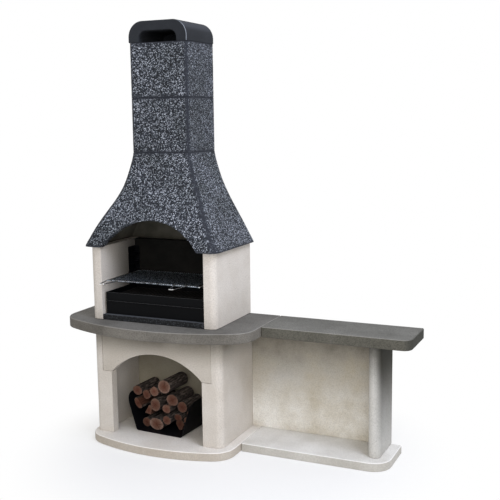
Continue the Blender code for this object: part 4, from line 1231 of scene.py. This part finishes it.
rods = [((x, rod_front - ROD, rod_level), (x, rod_rear + ROD, rod_level)) for x in (rod_left, rod_right)]
for y in (rod_front, rod_rear):
    rods.append(((rod_left, y, rod_level), (rod_right, y, rod_level)))
wire_level = rod_level + ROD + WIRE - WIRE_SINK
wire_gaps = int((rod_right - rod_left - 2 * WIRE_EDGE) / WIRE_PITCH)
drop = ROD + WIRE - WIRE_SINK
hook = [(drop * math.sin(HOOK_STEP * k), drop * math.cos(HOOK_STEP * k)) for k in range(HOOK_POINTS)]
wires = []
for i in range(wire_gaps + 1):
    x = (rod_left + rod_right) / 2 + (i - wire_gaps / 2) * WIRE_PITCH
    ends = []
    for y, outward in ((rod_front, -1), (rod_rear, 1)):
        hooked = [(x, y + outward * out * HOOK_REACH_SHARE, rod_level + up) for out, up in hook]
        ends.append([(x, y - outward * WIRE_HIGHLIGHT_END, wire_level), *hooked])
    wires.append(ends[0][::-1] + ends[1])
wire_piece(
    "cooking_grid_finished",
    [wire_mesh("rods", rods, ROD), wire_mesh("wires", wires, WIRE)],
    "cooking_grid",
    ["cooking_grid"],
)
for side in ("left", "right"):
    node = f"{side}_grid_handle"
    low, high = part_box(node)
    middle = (low.x + high.x) / 2
    base = (high.x - low.x) / 2 - HANDLE_ROD
    tip = HANDLE_TIP / 2 - HANDLE_BEND
    level = (low.z + high.z) / 2
    bend_y = low.y + HANDLE_ROD + HANDLE_BEND
    bend = [math.radians(-90 * k / BEND_STEPS) for k in range(BEND_STEPS + 1)]
    half = [(base, high.y), (base, high.y - HANDLE_FOOT)]
    half += [(tip + HANDLE_BEND * math.cos(a), bend_y + HANDLE_BEND * math.sin(a)) for a in bend]
    route = [(middle + x, y, level) for x, y in half] + [(middle - x, y, level) for x, y in reversed(half)]
    wire_piece(f"{node}_finished", [wire_mesh(node, [route], HANDLE_ROD)], "cooking_grid", [node])

# Log cradle. One sheet of 3 mm steel folded into a trough with leaning sides and rounded upper corners,
# painted satin black. It stands loose on the base slab, a little askew in the niche.
cradle_paint = stove_paint("satin_black_paint", "#07080C", 0.55, 0.01, "#000000")
finished_copy("log_cradle", "log_cradle", cradle_paint, SHEET_ARRIS)

# Firewood. Eighteen short lengths of branch wood, sawn square at the ends and some of them split, stacked
# loose in the cradle. The sawn ends are reddish brown, paler at the rim, with rings and drying cracks, and
# the bark is dark grey and furrowed.
LOG_COUNT = 18
CRADLE_TURN = math.radians(-3.5)
LOG_AROUND = 44
LOG_BODY = 18
BARK = 0.0022
BARK_DEPTH = 0.0016
LOG_UNEVEN_SHARE = 0.07
UNEVEN_WAVES = 1.3
UNEVEN_WAVES_PER_METRE = 4
BARK_FURROWS = 5
BARK_CRACKS_PER_METRE = 22
SPLIT_ROUGH = 0.0008
SPLIT_WAVES_PER_METRE = 60
SPLIT_FACING_SHARE = 0.01
SAWN_RING_SHARES = (0, 0.30, 0.60)
# A log's own stretch of each noise, so that no two logs are alike
SEED_STEP = 7
GRAIN_STEP = 0.61
# Year rings are drawn 4 mm apart, wider than the real ones, so that some show
RINGS_PER_METRE = 75
HEART_RADIUS = 0.040
RIDGES_PER_METRE = 130
RIDGE_STRETCH = 0.22
RIDGE_RELIEF = 0.002
KINDS_PER_METRE = 1.7
DRYING_CRACKS = 2.6
# Each log's half width and half height as shares of its CAD radius and its turn in degrees, then its split
# faces as a direction in degrees and a share of the radius
LOG_FORMS = {
    1: (0.92, 0.86, 0, ((-10, 0.84),)),
    2: (0.94, 0.68, -5, ()),
    3: (1.00, 1.00, 0, ((150, 0.45), (-15, 0.55), (-100, 0.74))),
    5: (0.90, 1.00, 0, ((215, 0.66), (-25, 0.72))),
    6: (1.00, 0.60, -55, ((35, 0.34),)),
    7: (0.78, 0.88, 0, ((182, 0.72),)),
    9: (0.96, 1.00, 0, ((40, 0.78), (-58, 0.88), (205, 0.82))),
    10: (1.00, 0.92, -10, ((160, 0.86),)),
    11: (1.00, 0.80, -5, ((-92, 0.72),)),
    13: (1.00, 0.92, -15, ((60, 0.84), (250, 0.82))),
    15: (0.84, 0.74, -10, ()),
    16: (1.00, 0.96, 0, ((5, 0.88), (130, 0.80))),
    17: (1.00, 0.84, -8, ()),
    18: (0.82, 0.78, 0, ()),
}


def firewood_material(name):
    """Air-dried branch wood, sawn and split, with its bark on.

    Vertices carry grain, their place about the pith, and bark, 1 where it is left.
    """
    material, tree, shader = new_material(name, 0.85, specular=0.2)
    grain = add(tree, "ShaderNodeAttribute", {"attribute_name": "grain"}).outputs["Vector"]
    bark = add(tree, "ShaderNodeAttribute", {"attribute_name": "bark"}).outputs["Fac"]
    rings = add(
        tree,
        "ShaderNodeTexWave",
        {
            "wave_type": "RINGS",
            "rings_direction": "Z",
            "Scale": RINGS_PER_METRE,
            "Distortion": 2.5,
            "Detail": 3.0,
            "Detail Scale": 0.6,
        },
        {"Vector": grain},
    )
    flat = add(
        tree, "ShaderNodeVectorMath", {"operation": "MULTIPLY", 1: (1.0, 1.0, 0.0)}, {0: grain}
    ).outputs["Vector"]
    reach = add(tree, "ShaderNodeVectorMath", {"operation": "LENGTH"}, {0: flat}).outputs["Value"]
    heart = add(tree, "ShaderNodeMapRange", {"From Max": HEART_RADIUS}, {"Value": reach})
    wood = add(
        tree,
        "ShaderNodeValToRGB",
        {
            "stops": (
                (0.0, "#6A3E30"),
                (0.25, "#7A5546"),
                (0.60, "#846658"),
                (0.85, "#9C8376"),
                (1.0, "#A89084"),
            )
        },
        {"Fac": heart.outputs["Result"]},
    )
    ring_tone = add(
        tree,
        "ShaderNodeValToRGB",
        {"stops": ((0.15, "#9C857A"), (0.60, PLAIN_WHITE))},
        {"Fac": rings.outputs["Fac"]},
    )
    wood = add(
        tree,
        "ShaderNodeMixRGB",
        {"blend_type": "MULTIPLY", "Fac": 0.8},
        {"Color1": wood.outputs["Color"], "Color2": ring_tone.outputs["Color"]},
    )
    kind = add(tree, "ShaderNodeTexNoise", {"Scale": KINDS_PER_METRE, "Detail": 0.0}, {"Vector": grain})
    kind_tone = add(
        tree,
        "ShaderNodeValToRGB",
        {"stops": ((0.30, "#B49C90"), (0.65, PLAIN_WHITE))},
        {"Fac": kind.outputs["Fac"]},
    )
    wood = add(
        tree,
        "ShaderNodeMixRGB",
        {"blend_type": "MULTIPLY", "Fac": 1.0},
        {"Color1": wood.outputs["Color"], "Color2": kind_tone.outputs["Color"]},
    )
    heading = add(tree, "ShaderNodeVectorMath", {"operation": "NORMALIZE"}, {0: flat}).outputs["Vector"]
    along = add(tree, "ShaderNodeVectorMath", {"operation": "MULTIPLY", 1: (0.0, 0.0, 1.0)}, {0: grain})
    spoke = add(
        tree,
        "ShaderNodeVectorMath",
        {"operation": "ADD"},
        {0: heading, 1: along.outputs["Vector"]},
    )
    crack = add(
        tree,
        "ShaderNodeTexNoise",
        {"Scale": DRYING_CRACKS, "Detail": 2.0},
        {"Vector": spoke.outputs["Vector"]},
    )
    crack_tone = add(
        tree,
        "ShaderNodeValToRGB",
        {
            "stops": (
                (0.478, PLAIN_WHITE),
                (0.492, "#6A4A3C"),
                (0.500, "#6A4A3C"),
                (0.514, PLAIN_WHITE),
            )
        },
        {"Fac": crack.outputs["Fac"]},
    )
    wood = add(
        tree,
        "ShaderNodeMixRGB",
        {"blend_type": "MULTIPLY", "Fac": 0.7},
        {"Color1": wood.outputs["Color"], "Color2": crack_tone.outputs["Color"]},
    )
    long_grain = add(tree, "ShaderNodeMapping", {"Scale": (1.0, 1.0, RIDGE_STRETCH)}, {"Vector": grain})
    ridges = add(
        tree,
        "ShaderNodeTexNoise",
        {"Scale": RIDGES_PER_METRE, "Detail": 5.0, "Roughness": 0.65},
        {"Vector": long_grain.outputs["Vector"]},
    )
    bark_tone = add(
        tree,
        "ShaderNodeValToRGB",
        {"stops": ((0.36, "#1E1A19"), (0.52, "#48403C"), (0.68, "#7C716A"))},
        {"Fac": ridges.outputs["Fac"]},
    )
    colour = add(
        tree,
        "ShaderNodeMixRGB",
        None,
        {"Fac": bark, "Color1": wood.outputs["Color"], "Color2": bark_tone.outputs["Color"]},
    )
    relief = add(
        tree,
        "ShaderNodeBump",
        {"Strength": 0.5, "Distance": RIDGE_RELIEF},
        {"Height": ridges.outputs["Fac"]},
    )
    tree.links.new(colour.outputs["Color"], shader.inputs["Base Color"])
    tree.links.new(relief.outputs["Normal"], shader.inputs["Normal"])
    return material


firewood = firewood_material("air_dried_firewood")
axis = Vector((-math.sin(CRADLE_TURN), math.cos(CRADLE_TURN), 0))
across = Vector((math.cos(CRADLE_TURN), math.sin(CRADLE_TURN), 0))
upward = Vector((0, 0, 1))
for number in range(1, LOG_COUNT + 1):
    node = f"log_{number:02d}"
    low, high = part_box(node)
    cad_radius = (high.z - low.z) / 2
    wide, tall, turn, splits = LOG_FORMS.get(number, (1.0, 1.0, 0, ()))
    turn = math.radians(turn)
    half_height = cad_radius * math.hypot(wide * math.sin(turn), tall * math.cos(turn))
    length = ((high.y - low.y) - 2 * cad_radius * abs(axis.x)) / axis.y
    pith = (low + high) / 2 - axis * (length / 2) - upward * (cad_radius - half_height)
    end_shares = (*SAWN_RING_SHARES, 1 - BARK / cad_radius, 1)
    rings = [(0, part) for part in end_shares]
    rings += [(length * i / LOG_BODY, 1) for i in range(1, LOG_BODY)]
    rings += [(length, part) for part in reversed(end_shares)]
    bm = bmesh.new()
    grain = bm.verts.layers.float_vector.new("grain")
    bark = bm.verts.layers.float.new("bark")
    bmesh.ops.create_grid(bm, x_segments=LOG_AROUND, y_segments=len(rings) - 1, size=0.5)
    for vert in bm.verts:
        i = round((vert.co.x + 0.5) * LOG_AROUND) % LOG_AROUND
        j = round((vert.co.y + 0.5) * (len(rings) - 1))
        down, part = rings[j]
        angle = math.radians(360 * i / LOG_AROUND)
        around = Vector((math.cos(angle), math.sin(angle), 0))
        seed = around + Vector((0, 0, number * SEED_STEP + down * UNEVEN_WAVES_PER_METRE))
        furrow = around * BARK_FURROWS + Vector((0, 0, number + down * BARK_CRACKS_PER_METRE))
        full = cad_radius / math.hypot(math.cos(angle - turn) / wide, math.sin(angle - turn) / tall)
        full *= 1 - LOG_UNEVEN_SHARE * (1 + noise.noise(seed * UNEVEN_WAVES)) / 2
        full -= BARK_DEPTH * abs(noise.noise(furrow))
        barked = 1.0
        for direction, reach in splits:
            facing = math.cos(angle - math.radians(direction))
            chord = cad_radius * reach / facing if facing > SPLIT_FACING_SHARE else full
            if chord < full:
                full = chord - SPLIT_ROUGH * (1 + noise.noise(vert.co * SPLIT_WAVES_PER_METRE + around))
                barked = 0.0
        out = full * part
        vert[grain] = Vector((out * around.x, out * around.y, down + number * GRAIN_STEP))
        vert[bark] = barked * (part == 1)
        vert.co = pith + axis * down + across * out * around.x + upward * out * around.y
    bmesh.ops.remove_doubles(bm, verts=bm.verts, dist=WELD)
    bmesh.ops.recalc_face_normals(bm, faces=bm.faces)
    mesh = bpy.data.meshes.new(f"{node}_finished")
    bm.to_mesh(mesh)
    bm.free()
    smooth(mesh, firewood)
    settle(bpy.data.objects.new(f"{node}_finished", mesh), "log_cradle", [node])

# Studio. A plain white floor that fades to the background away from the barbecue, a large soft light high
# on the right, a weaker one at the front right, and the camera where the photograph was taken from.
FLOOR_HALF = 30.0
FLOOR_DROP = 0.0005
FLOOR_FADE_FROM = 0.6
FLOOR_FADE_TO = 1.2
FLOOR_LEAST_SHARE = 0.4
AMBIENT = 0.55
# Name, place, width, power and tint of each lamp
SOFTBOXES = (
    ("high_right_softbox", (3.2, -1.6, 5.0), 2.4, 172.0, "#E6EDFF"),
    ("front_softbox", (2.0, -4.7, 2.9), 2.8, 86.0, "#FFFAF4"),
)
AIM = (0.0, 0.0, 0.9)
CAMERA_PLACE = (1.8656, -3.8869, 1.7185)
CAMERA_YAW = math.radians(24.33)
CAMERA_PITCH = math.radians(8.59)
CAMERA_ROLL = math.radians(-0.706)
CAMERA_LENS = 62.20
CAMERA_SHIFT = -0.0045


def from_eye(tree):
    """1 on rays from the camera, off gloss and through glass, and 0 on rays that light the scene."""
    path = add(tree, "ShaderNodeLightPath")
    seen = add(
        tree,
        "ShaderNodeMath",
        {"operation": "MAXIMUM"},
        {0: path.outputs["Is Camera Ray"], 1: path.outputs["Is Glossy Ray"]},
    )
    return add(
        tree,
        "ShaderNodeMath",
        {"operation": "MAXIMUM"},
        {0: seen.outputs["Value"], 1: path.outputs["Is Transmission Ray"]},
    ).outputs["Value"]


world = bpy.data.worlds.new("white_studio")
world.use_nodes = True
bpy.context.scene.world = world
sky = world.node_tree
sky.nodes.clear()
ambient = add(sky, "ShaderNodeBackground", {"Color": linear(PLAIN_WHITE), "Strength": AMBIENT})
white = add(sky, "ShaderNodeBackground", {"Color": linear(PLAIN_WHITE), "Strength": 1.0})
mixed = add(
    sky, "ShaderNodeMixShader", None, {0: from_eye(sky), 1: ambient.outputs[0], 2: white.outputs[0]}
)
add(sky, "ShaderNodeOutputWorld", None, {"Surface": mixed.outputs[0]})

floor_mesh = bpy.data.meshes.new("floor")
bm = bmesh.new()
bmesh.ops.create_grid(
    bm, x_segments=1, y_segments=1, size=FLOOR_HALF, matrix=Matrix.Translation((0, 0, -FLOOR_DROP))
)
bm.to_mesh(floor_mesh)
bm.free()
floor = bpy.data.objects.new("floor", floor_mesh)
bpy.context.scene.collection.objects.link(floor)
floor_material = bpy.data.materials.new("white_floor")
floor_material.use_nodes = True
ground = floor_material.node_tree
ground.nodes.clear()
spot = add(ground, "ShaderNodeTexCoord").outputs["Object"]
away = add(ground, "ShaderNodeVectorMath", {"operation": "LENGTH"}, {0: spot}).outputs["Value"]
far = add(
    ground,
    "ShaderNodeMapRange",
    {
        "interpolation_type": "SMOOTHSTEP",
        "From Min": FLOOR_FADE_FROM,
        "From Max": FLOOR_FADE_TO,
        "To Min": FLOOR_LEAST_SHARE,
    },
    {"Value": away},
)
fade = add(
    ground, "ShaderNodeMath", {"operation": "MULTIPLY"}, {0: far.outputs["Result"], 1: from_eye(ground)}
)
matt = add(ground, "ShaderNodeBsdfDiffuse", {"Color": linear("#F8F8F8")})
bright = add(ground, "ShaderNodeEmission", {"Color": linear(PLAIN_WHITE), "Strength": 1.0})
surface = add(
    ground,
    "ShaderNodeMixShader",
    None,
    {0: fade.outputs["Value"], 1: matt.outputs[0], 2: bright.outputs[0]},
)
add(ground, "ShaderNodeOutputMaterial", None, {"Surface": surface.outputs[0]})
floor_mesh.materials.append(floor_material)

for name, place, size, power, tint in SOFTBOXES:
    lamp = bpy.data.lights.new(name, "AREA")
    lamp.shape = "DISK"
    lamp.size = size
    lamp.energy = power
    lamp.color = linear(tint)[:3]
    holder = bpy.data.objects.new(name, lamp)
    holder.location = place
    holder.rotation_euler = (Vector(AIM) - Vector(place)).to_track_quat("-Z", "Y").to_euler()
    bpy.context.scene.collection.objects.link(holder)

lens = bpy.data.cameras.new("camera")
lens.lens = CAMERA_LENS
lens.shift_y = CAMERA_SHIFT
camera = bpy.data.objects.new("camera", lens)
ahead = Vector(
    (
        -math.sin(CAMERA_YAW) * math.cos(CAMERA_PITCH),
        math.cos(CAMERA_YAW) * math.cos(CAMERA_PITCH),
        -math.sin(CAMERA_PITCH),
    )
)
level_right = Vector((math.cos(CAMERA_YAW), math.sin(CAMERA_YAW), 0))
level_up = level_right.cross(ahead)
right = math.cos(CAMERA_ROLL) * level_right + math.sin(CAMERA_ROLL) * level_up
top = math.cos(CAMERA_ROLL) * level_up - math.sin(CAMERA_ROLL) * level_right
facing = Matrix((right, top, -ahead)).transposed().to_4x4()
camera.matrix_world = Matrix.Translation(CAMERA_PLACE) @ facing
bpy.context.scene.collection.objects.link(camera)
bpy.context.scene.camera = camera
